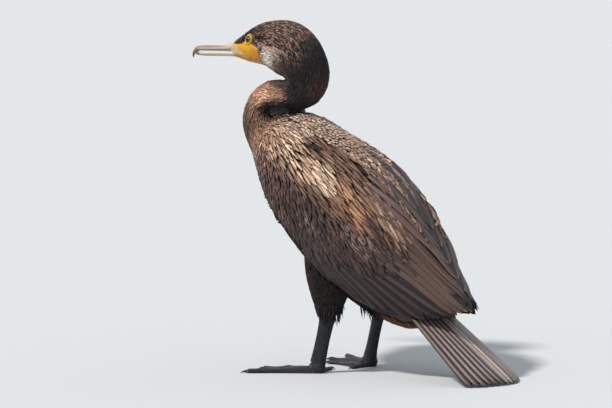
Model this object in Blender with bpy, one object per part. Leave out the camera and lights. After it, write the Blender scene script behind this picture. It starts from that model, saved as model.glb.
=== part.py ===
"""A life-size great cormorant standing at rest, neck drawn back in an S and tail touching the floor.

The bird looks along -Y and its left side is +X. Sizes below are millimetres, turned to metres by MM.
Body, neck and head are one run of cross-sections; each named part is a length of that run.
"""

import math

import bmesh
import bpy
from mathutils import Vector

MM = 0.001
GAP = 0.3  # clearance between parts that meet face to face
SIDES = {"left": 1, "right": -1}

# A cross-section of the body: y and z of its dorsal point, y and z of its ventral point, half its width.
RUMP_SECTIONS = [
    (168, 100, 152, 78, 15),
    (164, 114, 139, 67, 25),
    (152, 146, 112, 60, 38),
]
TRUNK_SECTIONS = [
    (134, 190, 70, 71, 50),
    (110, 231, 25, 92, 60),
    (76, 264, -22, 125, 66),
    (34, 290, -62, 164, 66),
    (-12, 311, -90, 200, 61),
    (-53, 328, -109, 236, 50),
]
NECK_BASE_SECTION = (-87, 319, -124, 267, 33)
LOWER_NECK_SECTIONS = [
    (-97, 317, -138, 290, 26.5),
    (-99, 320, -145, 316, 23),
    (-98, 325, -133, 348, 21.5),
]
MIDDLE_NECK_SECTIONS = [
    (-94, 326, -107, 366, 20.5),
    (-79, 326, -83, 367, 20.5),
    (-61, 329.5, -75, 369, 21.5),
]
UPPER_NECK_SECTIONS = [
    (-37.5, 337.5, -71, 371, 23.5),
    (-22.5, 357, -74, 371, 25.5),
    (-18, 380.5, -79, 371.5, 26.5),
]
HEAD_SECTIONS = [
    (-24, 402, -85, 372.5, 26.5),
    (-35, 421, -92, 374.5, 26.5),
    (-52, 436, -99, 378, 25),
    (-75, 444, -107, 382, 23.5),
    (-100, 443, -115, 385, 21),
    (-121, 438, -125, 386.5, 18),
    (-138, 429, -138, 388.5, 14.5),
    (-152, 419.5, -151, 391.5, 11.5),
    (-163, 413, -163, 394, 9.3),
]
TRUNK_FACETS, TRUNK_STEPS = 22, 2
NECK_FACETS, NECK_STEPS = 18, 2
HEAD_FACETS, HEAD_STEPS = 20, 2

# The bill: y, its top z, its lower z and its half width at each place from the face to the tip.
BILL_FACE_Y = -163.3
UPPER_BILL = [
    (-163.3, 412.6, 402.4, 9.0),
    (-178, 410.6, 401.6, 7.0),
    (-194, 409.4, 400.8, 5.9),
    (-209, 408.0, 400.2, 5.2),
    (-219, 406.0, 399.0, 4.6),
    (-225, 402.4, 395.4, 3.6),
    (-228, 397.6, 391.6, 2.2),
    (-227.6, 391.8, 389.6, 0.8),
]
LOWER_BILL = [
    (-163.3, 402.0, 393.8, 8.6),
    (-178, 401.2, 393.6, 6.6),
    (-194, 400.4, 393.2, 5.4),
    (-209, 399.7, 392.7, 4.6),
    (-219, 398.2, 393.2, 3.4),
    (-223, 396.6, 394.0, 1.9),
]
BILL_FACETS = 12
BILL_BACK_ROUNDING, BILL_MEETING_ROUNDING = 1.15, 0.55  # powers that shape its round and its flat side

# The bare throat pouch is the lower front of the head: behind the bill, ahead of the cheek, below the gape.
POUCH_BACK_Y, GAPE_Z = -108, 403
POUCH_HALF_SIZE = 60  # of the block that parts it from the head

EYE_RADIUS = 5.8
EYE_PLACE = (11.2, -129.5, 418)
EYE_FACETS, EYE_RINGS = 14, 8

# The folded wing: a point of its upper edge, of its swell and of its lower edge, then its thickness.
WING_SECTIONS = [
    ((36, -86, 311), (52, -88, 276), (49, -82, 250), 4),
    ((33, -72, 325), (67, -78, 278), (61, -73, 229), 11),
    ((29, -44, 321), (75, -48, 262), (67, -48, 192), 15),
    ((28, 4, 299), (79, -6, 240), (70, -12, 163), 16),
    ((27, 54, 277), (79, 38, 213), (69, 24, 130), 15),
    ((25, 96, 245), (74, 80, 181), (62, 62, 98), 12),
    ((21, 128, 214), (62, 117, 150), (52, 108, 77), 9),
    ((17, 153, 179), (46, 150, 125), (38, 154, 75), 6.5),
    ((12, 176, 134), (28, 181, 106), (24, 187, 78), 4.5),
    ((8, 198, 108), (15, 202, 95), (13, 206, 83), 3),
    ((4.5, 209, 97), (6.6, 210.5, 92), (6, 212, 87), 1.6),
]
WING_STEPS, WING_OUTER_POINTS, WING_INNER_POINTS = 2, 8, 4
WING_SQUARENESS = 0.5  # how soon a wing reaches its full thickness from either edge
COVERT_TIPS = (60, 146)  # y and z of a point on the line where the greater coverts end
COVERT_LINE_TILT = -0.1
PRIMARY_LINE = (60, 112)  # y and z of a point on the line between secondaries and primaries
PRIMARY_LINE_TILT = -0.12

# Tail: feathers side by side in a fan, the middle ones on top and longest.
TAIL_FEATHERS = 14
TAIL_ROOT = (0, 130, 98.8)
TAIL_SLOPE = math.radians(36)
TAIL_LENGTH, TAIL_SHORTENING = 167, 0.42  # outer feathers lose this much times their place squared
TAIL_FAN = math.radians(1.15)  # turn from one feather to the next
TAIL_ARCH_RADIUS, TAIL_ARCH_STEP = 95, math.radians(3.3)  # the roots lie on a low arch
TAIL_THICKNESS, TAIL_RIDGE, TAIL_THINNING, TAIL_NOTCH = 3.2, 0.4, 0.35, 6
TAIL_SHARES = (0, 0.35, 0.7, 0.9, 1)

# Legs: heel is the joint that looks like a backward knee, foot joint is where the toes begin.
LEGS = {
    "left": {"heel": (47, 17, 76), "foot": (45, 0, 13), "hip": (42, 20, 158)},
    "right": {"heel": (-46, 33, 76), "foot": (-45, 19, 13), "hip": (-42, 30, 158)},
}
FOOT_TURN = math.radians(15)  # each foot and shank is turned out by this much
THIGH_SECTIONS = [(0.0, 11, 14), (0.14, 14, 19), (0.34, 19, 26), (0.62, 25, 33), (1.0, 28, 38)]
THIGH_FACETS = 16
TARSUS_SECTIONS = [
    (0.0, 7.0, 10.5),
    (0.15, 5.0, 9.8),
    (0.5, 4.3, 9.3),
    (0.82, 5.2, 10.0),
    (1.0, 6.8, 11.5),
]
TARSUS_FACETS = 12

# Toes, from the hind one to the outer one: turn out from the foot in degrees, length, root radius.
TOES = {
    1: (-100, 34, 4.0),
    2: (-27, 56, 4.6),
    3: (-3, 74, 5.0),
    4: (21, 89, 5.2),
}
TOE_FACETS, TOE_RINGS = 8, 6
CLAW_FACETS, CLAW_SHARES = 6, (0, 0.5, 1)
TOE_TAPER, KNUCKLE_SWELL = 0.45, 0.13
KNUCKLES = {1: 1, 2: 2, 3: 3, 4: 4}
TOE_REST_HEIGHT = 0.8  # a toe's middle is this share of its radius above the floor, which flattens its sole
WEB_THICKNESS, WEB_REACH, WEB_SCALLOP, WEB_STEPS = 1.6, 0.93, 0.13, 6
WEB_HEEL = (4, 7, 0)  # the web's corner behind the foot joint, on the outer side
ANKLE_HALF_SIZE = (8.5, 12, 9.5)
ANKLE_FACETS, ANKLE_RINGS = 10, 8
ANKLE_FORWARD, ANKLE_HEIGHT = 1, 0.72  # ahead of the foot joint, and as a share of its half height
SHANK_CLEARANCE = (12, 14)  # half width and half depth of the space kept for the shank above the foot
CLAW_LENGTH, CLAW_RADIUS, CLAW_DROP = 9.5, 2.3, 0.5
CLAW_TAPER, CLAW_ARCH, CLAW_NARROWNESS = 0.85, 0.35, 0.8
CUT_REACH = 400  # how far the flat cuts reach past the bird

FINISHES = {
    "dark_plumage": ((0.055, 0.042, 0.036), 0.6),
    "brown_plumage": ((0.13, 0.085, 0.06), 0.6),
    "bronze_plumage": ((0.22, 0.14, 0.09), 0.55),
    "flight_feathers": ((0.06, 0.055, 0.055), 0.5),
    "tail_feathers": ((0.17, 0.15, 0.14), 0.5),
    "bare_yellow_skin": ((0.75, 0.42, 0.02), 0.5),
    "horn": ((0.62, 0.56, 0.46), 0.35),
    "leg_skin": ((0.03, 0.03, 0.035), 0.4),
    "claw": ((0.02, 0.018, 0.018), 0.35),
    "eye": ((0.02, 0.10, 0.09), 0.08),
}


def material(name):
    """The plain finish of that name, made once."""
    found = bpy.data.materials.get(name)
    if found:
        return found
    colour, roughness = FINISHES[name]
    made = bpy.data.materials.new(name)
    made.use_nodes = True
    shader = made.node_tree.nodes["Principled BSDF"]
    shader.inputs["Base Color"].default_value = (*colour, 1)
    shader.inputs["Roughness"].default_value = roughness
    shader.inputs["Metallic"].default_value = 0
    return made


def add_mesh(name, points, faces, finish):
    """A smooth object from points in millimetres, its faces turned outwards."""
    mesh = bpy.data.meshes.new(name)
    mesh.from_pydata([Vector(p) * MM for p in points], [], faces)
    shape = bmesh.new()
    shape.from_mesh(mesh)
    bmesh.ops.recalc_face_normals(shape, faces=shape.faces)
    bmesh.ops.triangulate(shape, faces=shape.faces)
    shape.to_mesh(mesh)
    shape.free()
    mesh.shade_smooth()
    mesh.materials.append(material(finish))
    part = bpy.data.objects.new(name, mesh)
    bpy.context.scene.collection.objects.link(part)
    return part


def loft(name, rings, finish, flat=False):
    """A closed tube through rings with the same number of points. A flat one is closed by strips."""
    count = len(rings[0])
    points = [p for ring in rings for p in ring]
    faces = []
    for first in (0, len(points) - count):
        if flat:
            for k in range(count // 2 - 1):
                corners = (k, k + 1, count - 2 - k, count - 1 - k)
                faces.append(tuple(first + corner for corner in corners))
        else:
            faces.append(tuple(range(first, first + count)))
    for start in range(0, len(points) - count, count):
        for k in range(count):
            near, far = start + k, start + (k + 1) % count
            faces.append((near, far, far + count, near + count))
    return add_mesh(name, points, faces, finish)


def as_tool(part):
    """Hides an object that only shapes others."""
    part.hide_render = True
    part.display_type = "WIRE"
    return part


def swollen(part, by):
    """A hidden copy of a part, larger by that much all round, for cutting what lies on it."""
    mesh = part.data.copy()
    shape = bmesh.new()
    shape.from_mesh(mesh)
    shape.normal_update()
    moves = [v.normal * v.calc_shell_factor() * by * MM for v in shape.verts]
    for vertex, move in zip(shape.verts, moves):
        vertex.co += move
    shape.to_mesh(mesh)
    shape.free()
    copy = bpy.data.objects.new(part.name + "_cutter", mesh)
    bpy.context.scene.collection.objects.link(copy)
    return as_tool(copy)


def boolean(part, other, operation):
    change = part.modifiers.new(operation.title() + "_" + other.name, "BOOLEAN")
    change.operation = operation
    change.object = other
    change.solver = "EXACT"


def block(name, low, high):
    """A hidden box between two corners in millimetres."""
    points = [(x, y, z) for x in (low[0], high[0]) for y in (low[1], high[1]) for z in (low[2], high[2])]
    faces = [(0, 1, 3, 2), (4, 6, 7, 5), (0, 4, 5, 1), (2, 3, 7, 6), (0, 2, 6, 4), (1, 5, 7, 3)]
    return as_tool(add_mesh(name, points, faces, "leg_skin"))


def between(rows, steps):
    """Rows of numbers with steps - 1 more rows between each two, on Catmull-Rom curves."""
    ends = [rows[0], *rows, rows[-1]]
    found = []
    for i in range(1, len(ends) - 2):
        before, here, after, beyond = ends[i - 1 : i + 3]
        for step in range(steps):
            t = step / steps
            found.append(
                tuple(
                    0.5
                    * (
                        2 * b
                        + (c - a) * t
                        + (2 * a - 5 * b + 4 * c - d) * t * t
                        + (3 * b - 3 * c + d - a) * t**3
                    )
                    for a, b, c, d in zip(before, here, after, beyond)
                )
            )
    return [*found, rows[-1]]


def body_ring(section, facets, shift=0.0):
    """The oval of one cross-section, moved along the body by shift."""
    dorsal, ventral = Vector((0, section[0], section[1])), Vector((0, section[2], section[3]))
    centre, upward = (dorsal + ventral) / 2, (dorsal - ventral) / 2
    along = upward.cross(Vector((1, 0, 0))).normalized() * shift
    ring = []
    for k in range(facets):
        turn = 2 * math.pi * (k + 0.5) / facets
        ring.append(centre + along + upward * math.cos(turn) + Vector((section[4] * math.sin(turn), 0, 0)))
    return ring


def body_length(name, sections, first, last, facets, steps, finish):
    """The part of the body between two section numbers, drawn in by half a gap at each end."""
    run = between(sections, steps)
    rings = [body_ring(s, facets) for s in run[first * steps : last * steps + 1]]
    rings[0] = body_ring(run[first * steps], facets, -GAP / 2)
    rings[-1] = body_ring(run[last * steps], facets, GAP / 2)
    return loft(name, rings, finish)


def make_body():
    """Rump, trunk, neck and head, as lengths of one run of sections from the tail to the face."""
    sections = [
        *RUMP_SECTIONS,
        *TRUNK_SECTIONS,
        NECK_BASE_SECTION,
        *LOWER_NECK_SECTIONS,
        *MIDDLE_NECK_SECTIONS,
        *UPPER_NECK_SECTIONS,
        *HEAD_SECTIONS,
    ]
    rump_end = len(RUMP_SECTIONS)
    trunk_end = rump_end + len(TRUNK_SECTIONS)
    lower_end = trunk_end + len(LOWER_NECK_SECTIONS)
    middle_end = lower_end + len(MIDDLE_NECK_SECTIONS)
    upper_end = middle_end + len(UPPER_NECK_SECTIONS)
    head_end = len(sections) - 1
    lengths = {
        "rump": (0, rump_end, TRUNK_FACETS, TRUNK_STEPS, "dark_plumage"),
        "trunk": (rump_end, trunk_end, TRUNK_FACETS, TRUNK_STEPS, "brown_plumage"),
        "neck_lower": (trunk_end, lower_end, NECK_FACETS, NECK_STEPS, "brown_plumage"),
        "neck_middle": (lower_end, middle_end, NECK_FACETS, NECK_STEPS, "dark_plumage"),
        "neck_upper": (middle_end, upper_end, NECK_FACETS, NECK_STEPS, "dark_plumage"),
        "head": (upper_end, head_end, HEAD_FACETS, HEAD_STEPS, "dark_plumage"),
    }
    return {
        name: body_length(name, sections, first, last, facets, steps, finish)
        for name, (first, last, facets, steps, finish) in lengths.items()
    }


def make_face(head):
    """Throat pouch, both halves of the bill and the eyes, with their places cut in the head."""
    pouch = bpy.data.objects.new("throat_pouch", head.data.copy())
    pouch.data.materials[0] = material("bare_yellow_skin")
    bpy.context.scene.collection.objects.link(pouch)
    half_gap = GAP / 2
    low = (-POUCH_HALF_SIZE, BILL_FACE_Y - POUCH_HALF_SIZE, GAPE_Z - POUCH_HALF_SIZE)
    inner_corner = (POUCH_HALF_SIZE, POUCH_BACK_Y - half_gap, GAPE_Z - half_gap)
    outer_corner = (POUCH_HALF_SIZE, POUCH_BACK_Y + half_gap, GAPE_Z + half_gap)
    boolean(pouch, block("pouch_block", low, inner_corner), "INTERSECT")
    boolean(head, block("head_block", low, outer_corner), "DIFFERENCE")
    for side, sign in SIDES.items():
        place = (sign * EYE_PLACE[0], EYE_PLACE[1], EYE_PLACE[2])
        eye = ball("eye_" + side, place, [EYE_RADIUS] * 3, EYE_FACETS, EYE_RINGS, "eye")
        boolean(head, swollen(eye, GAP), "DIFFERENCE")
    for name, rows in (("bill_upper", UPPER_BILL), ("bill_lower", LOWER_BILL)):
        rings = [bill_ring(row, name == "bill_upper") for row in between(rows, 2)]
        loft(name, rings, "horn")


def bill_ring(row, rounded_above):
    """A cross-section of the bill: flat where the two halves meet, round on the other side."""
    y, top, bottom, half_width = row
    centre, half_height = (top + bottom) / 2, (top - bottom) / 2
    ring = []
    for k in range(BILL_FACETS):
        turn = 2 * math.pi * (k + 0.5) / BILL_FACETS
        x, z = math.sin(turn), math.cos(turn)
        meets = z < 0 if rounded_above else z > 0
        z = math.copysign(abs(z) ** (BILL_MEETING_ROUNDING if meets else BILL_BACK_ROUNDING), z)
        ring.append((half_width * x, y, centre + half_height * z))
    return ring


def ball(name, centre, half_sizes, facets, rows, finish):
    """An ellipsoid whose poles point sideways."""
    points, faces = [], []
    for row in range(1, rows):
        tilt = math.pi * row / rows
        for k in range(facets):
            turn = 2 * math.pi * k / facets
            unit = (math.cos(tilt), math.sin(tilt) * math.cos(turn), math.sin(tilt) * math.sin(turn))
            points.append(tuple(c + h * u for c, h, u in zip(centre, half_sizes, unit)))
    for row in range(rows - 2):
        for k in range(facets):
            near, far = row * facets + k, row * facets + (k + 1) % facets
            faces.append((near, far, far + facets, near + facets))
    for pole, first in ((1, 0), (-1, (rows - 2) * facets)):
        points.append((centre[0] + pole * half_sizes[0], centre[1], centre[2]))
        for k in range(facets):
            faces.append((len(points) - 1, first + k, first + (k + 1) % facets))
    return add_mesh(name, points, faces, finish)


def wing_ring(section, sign, along):
    """A cross-section of the folded wing: its swelling outer side, then its inner side."""
    upper, swell, lower = (Vector(p) for p in (section[0:3], section[3:6], section[6:9]))
    thickness = section[9]

    def outer(b):
        return upper * (1 - b) * (1 - 2 * b) + swell * 4 * b * (1 - b) + lower * b * (2 * b - 1)

    def inner(b):
        across = outer(min(1, b + 0.01)) - outer(max(0, b - 0.01))
        outward = along.cross(across).normalized()
        if outward.x < 0:
            outward = -outward
        return outer(b) - outward * thickness * math.sin(math.pi * b) ** WING_SQUARENESS

    ring = [outer(k / (WING_OUTER_POINTS - 1)) for k in range(WING_OUTER_POINTS)]
    ring += [inner(1 - (k + 1) / (WING_INNER_POINTS + 1)) for k in range(WING_INNER_POINTS)]
    return [(sign * p.x, p.y, p.z) for p in ring]


def line_block(name, place, tilt, above):
    """A hidden block above or below a tilted line seen from the side, half a gap clear of it."""
    edge = [(place[0] + y, place[1] + tilt * y) for y in (-CUT_REACH, CUT_REACH)]
    shift = GAP / 2 if above else -GAP / 2
    far = CUT_REACH if above else -CUT_REACH
    points = [(x, y, z + dz) for x in (-CUT_REACH, CUT_REACH) for y, z in edge for dz in (shift, far)]
    faces = [(0, 1, 3, 2), (4, 6, 7, 5), (0, 4, 5, 1), (2, 3, 7, 6), (0, 2, 6, 4), (1, 5, 7, 3)]
    return as_tool(add_mesh(name, points, faces, "leg_skin"))


def make_wings(cutters):
    """Each folded wing in three: its covert-clad arm, its secondaries and its primaries."""
    flat_rows = [(*u, *m, *low, t) for u, m, low, t in WING_SECTIONS]
    rows = between(flat_rows, WING_STEPS)
    above_coverts = line_block("above_covert_tips", COVERT_TIPS, COVERT_LINE_TILT, True)
    below_coverts = line_block("below_covert_tips", COVERT_TIPS, COVERT_LINE_TILT, False)
    above_primaries = line_block("above_primaries", PRIMARY_LINE, PRIMARY_LINE_TILT, True)
    below_primaries = line_block("below_primaries", PRIMARY_LINE, PRIMARY_LINE_TILT, False)
    pieces = {
        "wing": ([above_coverts], "bronze_plumage"),
        "secondaries": ([below_coverts, above_primaries], "flight_feathers"),
        "primaries": ([below_coverts, below_primaries], "flight_feathers"),
    }
    for side, sign in SIDES.items():
        rings = []
        for i, row in enumerate(rows):
            before, after = rows[max(0, i - 1)], rows[min(len(rows) - 1, i + 1)]
            along = Vector(after[3:6]) - Vector(before[3:6])
            rings.append(wing_ring(row, sign, along))
        for kind, (blocks, finish) in pieces.items():
            piece = loft(f"{kind}_{side}", rings, finish)
            for cutter in cutters:
                boolean(piece, cutter, "DIFFERENCE")
            for keep in blocks:
                boolean(piece, keep, "INTERSECT")


def tail_point(place, share, height):
    """A point of the fan: which feather from its middle, how far along it and how high above it."""
    off_shaft = 2 * abs(place - math.floor(place) - 0.5)
    length = TAIL_LENGTH - TAIL_SHORTENING * place * place - TAIL_NOTCH * off_shaft
    turn, lean = place * TAIL_FAN, place * TAIL_ARCH_STEP
    down_tail = Vector((0, math.cos(TAIL_SLOPE), -math.sin(TAIL_SLOPE)))
    above_tail = Vector((0, math.sin(TAIL_SLOPE), math.cos(TAIL_SLOPE)))
    sideways = Vector((1, 0, 0))
    above = above_tail * math.cos(lean) + sideways * math.sin(lean)
    level = sideways * math.cos(lean) - above_tail * math.sin(lean)
    along = down_tail * math.cos(turn) + level * math.sin(turn)
    root = Vector(TAIL_ROOT) + (above - above_tail) * TAIL_ARCH_RADIUS
    ridge = height * (1 - TAIL_RIDGE * off_shaft) * (1 - TAIL_THINNING * share)
    return root + along * length * share + above * ridge


def make_tail(cutters):
    """The fan of tail feathers: one sheet ridged at each shaft, its tips on the floor. Returns its cutter."""
    places = [k / 2 - TAIL_FEATHERS / 2 for k in range(2 * TAIL_FEATHERS + 1)]
    outline = [(p, TAIL_THICKNESS / 2) for p in places] + [(p, -TAIL_THICKNESS / 2) for p in reversed(places)]
    rings = [[tail_point(p, share, height) for p, height in outline] for share in TAIL_SHARES]
    tail = loft("tail", rings, "tail_feathers", flat=True)
    tail_cutter = swollen(tail, GAP * 1.5)
    for cutter in cutters:
        boolean(tail, cutter, "DIFFERENCE")
    floor = block("floor_under_tail", (-CUT_REACH, 0, -CUT_REACH), (CUT_REACH, CUT_REACH, 0))
    boolean(tail, floor, "DIFFERENCE")
    return tail_cutter


def limb_rings(low, high, turn_out, sections, facets, gap):
    """Ovals along a limb. A section is its share of the way up, half its width and half its depth."""
    low, high = Vector(low), Vector(high)
    along = (high - low).normalized()
    outward = Vector((math.cos(turn_out), math.sin(turn_out), 0))
    sideways = (outward - along * along.dot(outward)).normalized()
    forward = sideways.cross(along)
    start, end = low + along * gap, high - along * gap
    rings = []
    for share, half_width, half_depth in sections:
        centre = start.lerp(end, share)
        turns = [2 * math.pi * k / facets for k in range(facets)]
        rings.append(
            [centre + sideways * half_width * math.cos(t) + forward * half_depth * math.sin(t) for t in turns]
        )
    return rings


def make_legs(trunk_cutter):
    """Feathered thighs and bare shanks. Returns cutters shaped as the thighs."""
    thigh_cutters = []
    for side, sign in SIDES.items():
        joints, turn = LEGS[side], sign * FOOT_TURN
        sections = between(TARSUS_SECTIONS, 2)
        rings = limb_rings(joints["foot"], joints["heel"], turn, sections, TARSUS_FACETS, GAP)
        shank = loft("shank_" + side, rings, "leg_skin")
        sections = between(THIGH_SECTIONS, 2)
        rings = limb_rings(joints["heel"], joints["hip"], turn, sections, THIGH_FACETS, 0)
        thigh = loft("thigh_" + side, rings, "dark_plumage")
        thigh_cutters.append(swollen(thigh, GAP * 1.5))
        boolean(thigh, trunk_cutter, "DIFFERENCE")
        boolean(thigh, swollen(shank, GAP), "DIFFERENCE")
    return thigh_cutters


def toe_direction(toe, sign):
    turn = math.radians(TOES[toe][0]) + FOOT_TURN
    return Vector((sign * math.sin(turn), -math.cos(turn), 0))


def toe_piece(name, toe, sign, root):
    """A toe lying on the floor, thickest at the foot and swollen at each knuckle."""
    _, length, radius = TOES[toe]
    forward = toe_direction(toe, sign)
    sideways = forward.cross(Vector((0, 0, 1)))
    rings = []
    for ring in range(TOE_RINGS):
        share = ring / (TOE_RINGS - 1)
        swell = KNUCKLE_SWELL * math.cos(2 * math.pi * share * KNUCKLES[toe])
        size = radius * (1 - TOE_TAPER * share) * (1 + swell)
        centre = Vector((root.x, root.y, size * TOE_REST_HEIGHT)) + forward * length * share
        turns = [2 * math.pi * (k + 0.5) / TOE_FACETS for k in range(TOE_FACETS)]
        rings.append([centre + sideways * size * math.cos(t) + Vector((0, 0, size * math.sin(t))) for t in turns])
    return loft(name, rings, "leg_skin")


def web_piece(name, sign, root):
    """The web that joins all four toes, its edge drawn in between their tips."""
    edge = []
    toes = sorted(TOES)
    tips = [Vector((root.x, root.y, 0)) + toe_direction(t, sign) * TOES[t][1] * WEB_REACH for t in toes]
    for tip, following in zip(tips, tips[1:]):
        for step in range(WEB_STEPS):
            share = step / WEB_STEPS
            straight = tip.lerp(following, share)
            drawn_in = 4 * share * (1 - share) * WEB_SCALLOP
            edge.append(straight.lerp(Vector((root.x, root.y, 0)), drawn_in))
    heel_corner = Vector((sign * WEB_HEEL[0], WEB_HEEL[1], WEB_HEEL[2]))
    edge += [tips[-1], Vector((root.x, root.y, 0)) + heel_corner]
    points = [(p.x, p.y, z) for z in (0, WEB_THICKNESS) for p in edge]
    count = len(edge)
    faces = [tuple(range(count)), tuple(range(count, 2 * count))]
    faces += [(k, (k + 1) % count, (k + 1) % count + count, k + count) for k in range(count)]
    return add_mesh(name, points, faces, "leg_skin")


def claw_piece(name, toe, sign, root):
    """A short curved claw at the end of a toe."""
    _, length, _ = TOES[toe]
    forward = toe_direction(toe, sign)
    sideways = forward.cross(Vector((0, 0, 1)))
    rings = []
    for share in CLAW_SHARES:
        size = CLAW_RADIUS * (1 - CLAW_TAPER * share)
        arch = CLAW_ARCH * math.sin(math.pi * share)
        height = CLAW_RADIUS + arch - (CLAW_RADIUS - size - CLAW_DROP) * share
        centre = Vector((root.x, root.y, max(height, size))) + forward * (length + GAP + CLAW_LENGTH * share)
        turns = [2 * math.pi * (k + 0.5) / CLAW_FACETS for k in range(CLAW_FACETS)]
        rings.append(
            [
                centre + sideways * size * CLAW_NARROWNESS * math.cos(t) + Vector((0, 0, size * math.sin(t)))
                for t in turns
            ]
        )
    return loft(name, rings, "claw")


def make_feet():
    """Each foot is one web-footed piece with flat soles, and a claw for each toe."""
    floor = block("floor_under_feet", (-CUT_REACH, -CUT_REACH, -CUT_REACH), (CUT_REACH, CUT_REACH, 0))
    for side, sign in SIDES.items():
        root = Vector(LEGS[side]["foot"])
        heel = Vector(LEGS[side]["heel"])
        foot = web_piece("foot_" + side, sign, root)
        ankle_place = (root.x, root.y - ANKLE_FORWARD, ANKLE_HALF_SIZE[2] * ANKLE_HEIGHT)
        ankle = ball("ankle_" + side, ankle_place, ANKLE_HALF_SIZE, ANKLE_FACETS, ANKLE_RINGS, "leg_skin")
        boolean(foot, as_tool(ankle), "UNION")
        for toe in TOES:
            piece = toe_piece(f"toe_{toe}_{side}", toe, sign, root)
            boolean(foot, as_tool(piece), "UNION")
            claw_piece(f"claw_{toe}_{side}", toe, sign, root)
        boolean(foot, floor, "DIFFERENCE")
        space = limb_rings(root, heel, 0, [(0, *SHANK_CLEARANCE), (1, *SHANK_CLEARANCE)], TARSUS_FACETS, 0)
        boolean(foot, as_tool(loft("above_foot_" + side, space, "leg_skin")), "DIFFERENCE")


def centre_on_floor():
    """Moves everything so that the origin is under the middle of the bird."""
    bpy.context.view_layer.update()
    graph = bpy.context.evaluated_depsgraph_get()
    shown = [o for o in bpy.context.scene.objects if not o.hide_render]
    corners = [o.matrix_world @ Vector(c) for o in shown for c in o.evaluated_get(graph).bound_box]
    middle = [(min(c[i] for c in corners) + max(c[i] for c in corners)) / 2 for i in (0, 1)]
    for part in bpy.context.scene.objects:
        part.location = (-middle[0], -middle[1], 0)


def main():
    for left_over in list(bpy.data.objects):
        bpy.data.objects.remove(left_over)
    body = make_body()
    make_face(body["head"])
    trunk_cutter = swollen(body["trunk"], GAP)
    rump_cutter = swollen(body["rump"], GAP)
    neck_cutter = swollen(body["neck_lower"], GAP)
    thigh_cutters = make_legs(trunk_cutter)
    make_feet()
    tail_cutter = make_tail([rump_cutter, trunk_cutter])
    make_wings([trunk_cutter, rump_cutter, neck_cutter, tail_cutter, *thigh_cutters])
    centre_on_floor()


main()
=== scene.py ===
import math

import bmesh
import bpy
import numpy as np
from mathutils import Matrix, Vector
from mathutils.bvhtree import BVHTree


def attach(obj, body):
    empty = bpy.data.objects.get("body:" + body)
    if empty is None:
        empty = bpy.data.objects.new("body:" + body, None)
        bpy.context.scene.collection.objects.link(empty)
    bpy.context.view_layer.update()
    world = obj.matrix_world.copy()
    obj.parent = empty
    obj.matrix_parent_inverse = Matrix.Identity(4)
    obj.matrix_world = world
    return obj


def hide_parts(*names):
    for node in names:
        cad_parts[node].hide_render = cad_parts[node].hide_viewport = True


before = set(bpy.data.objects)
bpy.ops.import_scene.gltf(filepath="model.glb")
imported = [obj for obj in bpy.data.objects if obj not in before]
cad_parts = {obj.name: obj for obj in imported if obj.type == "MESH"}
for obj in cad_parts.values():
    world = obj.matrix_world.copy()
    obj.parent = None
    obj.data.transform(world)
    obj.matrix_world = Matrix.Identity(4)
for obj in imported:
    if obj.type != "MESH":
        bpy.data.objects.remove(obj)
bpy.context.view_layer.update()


def placed(name, data):
    """A new object with this data, in the scene."""
    made = bpy.data.objects.new(name, data)
    bpy.context.scene.collection.objects.link(made)
    return made


# The stand and the light: a plain pale floor, one broad lamp high on the bird's front left like a low sun
# behind thin cloud, a weak one behind it, and an even pale room. A long lens looks from the left rear.
floor_half = 60.0
floor_mesh = bpy.data.meshes.new("pale_floor")
floor_corners = [
    (-floor_half, -floor_half, 0), (floor_half, -floor_half, 0), (floor_half, floor_half, 0),
    (-floor_half, floor_half, 0)
]
floor_mesh.from_pydata(floor_corners, [], [(0, 1, 2, 3)])
floor = placed("pale_floor", floor_mesh)
floor_paint = bpy.data.materials.new("matt_floor_paint")
floor_paint.use_nodes = True
floor_paint.node_tree.nodes["Principled BSDF"].inputs["Base Color"].default_value = (0.385, 0.395, 0.405, 1)
floor_paint.node_tree.nodes["Principled BSDF"].inputs["Roughness"].default_value = 0.9
floor_mesh.materials.append(floor_paint)

room = bpy.data.worlds.new("pale_room")
room.use_nodes = True
room.node_tree.nodes["Background"].inputs["Color"].default_value = (0.73, 0.775, 0.815, 1)
room.node_tree.nodes["Background"].inputs["Strength"].default_value = 1.0
bpy.context.scene.world = room
bpy.context.scene.view_settings.view_transform = "Standard"

view_turn, view_rise = math.radians(125), math.radians(6)
towards_lens = Vector((
    math.sin(view_turn) * math.cos(view_rise), -math.cos(view_turn) * math.cos(view_rise), math.sin(view_rise)
))
lens_right = Vector((math.cos(view_turn), math.sin(view_turn), 0))
lens_up = towards_lens.cross(lens_right)
photo_pixel = 0.00128
picture_width = 612 * photo_pixel
lens_distance = 7.0
left_foot = Vector((0, -0.0188, 0))
aim = left_foot - lens_right * 32 * photo_pixel + lens_up * 165 * photo_pixel
lens = bpy.data.cameras.new("long_lens")
lens.sensor_width = 36
lens.lens = 36 * lens_distance / picture_width
lens.clip_end = 200
camera = placed("long_lens", lens)
camera.location = aim + towards_lens * lens_distance
camera.rotation_mode = "QUATERNION"
camera.rotation_quaternion = (-towards_lens).to_track_quat("-Z", "Y")
bpy.context.scene.camera = camera


def hang_lamp(name, sideways, upwards, forwards, softness, power, colour):
    """A broad far lamp seen from the lens that far to its right, above and towards it, aimed at the bird."""
    lamp = bpy.data.lights.new(name, "SUN")
    lamp.angle, lamp.energy, lamp.color = math.radians(softness), power, colour
    hung = placed(name, lamp)
    direction = (lens_right * sideways + lens_up * upwards + towards_lens * forwards).normalized()
    hung.location = direction * 3
    hung.rotation_mode = "QUATERNION"
    hung.rotation_quaternion = direction.to_track_quat("Z", "Y")


hang_lamp("front_lamp", -0.6, 0.85, 0.5, 6, 4.8, (1.0, 0.965, 0.925))
hang_lamp("rear_lamp", 0.8, 0.6, -0.5, 50, 0.25, (0.86, 0.93, 1.0))

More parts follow.
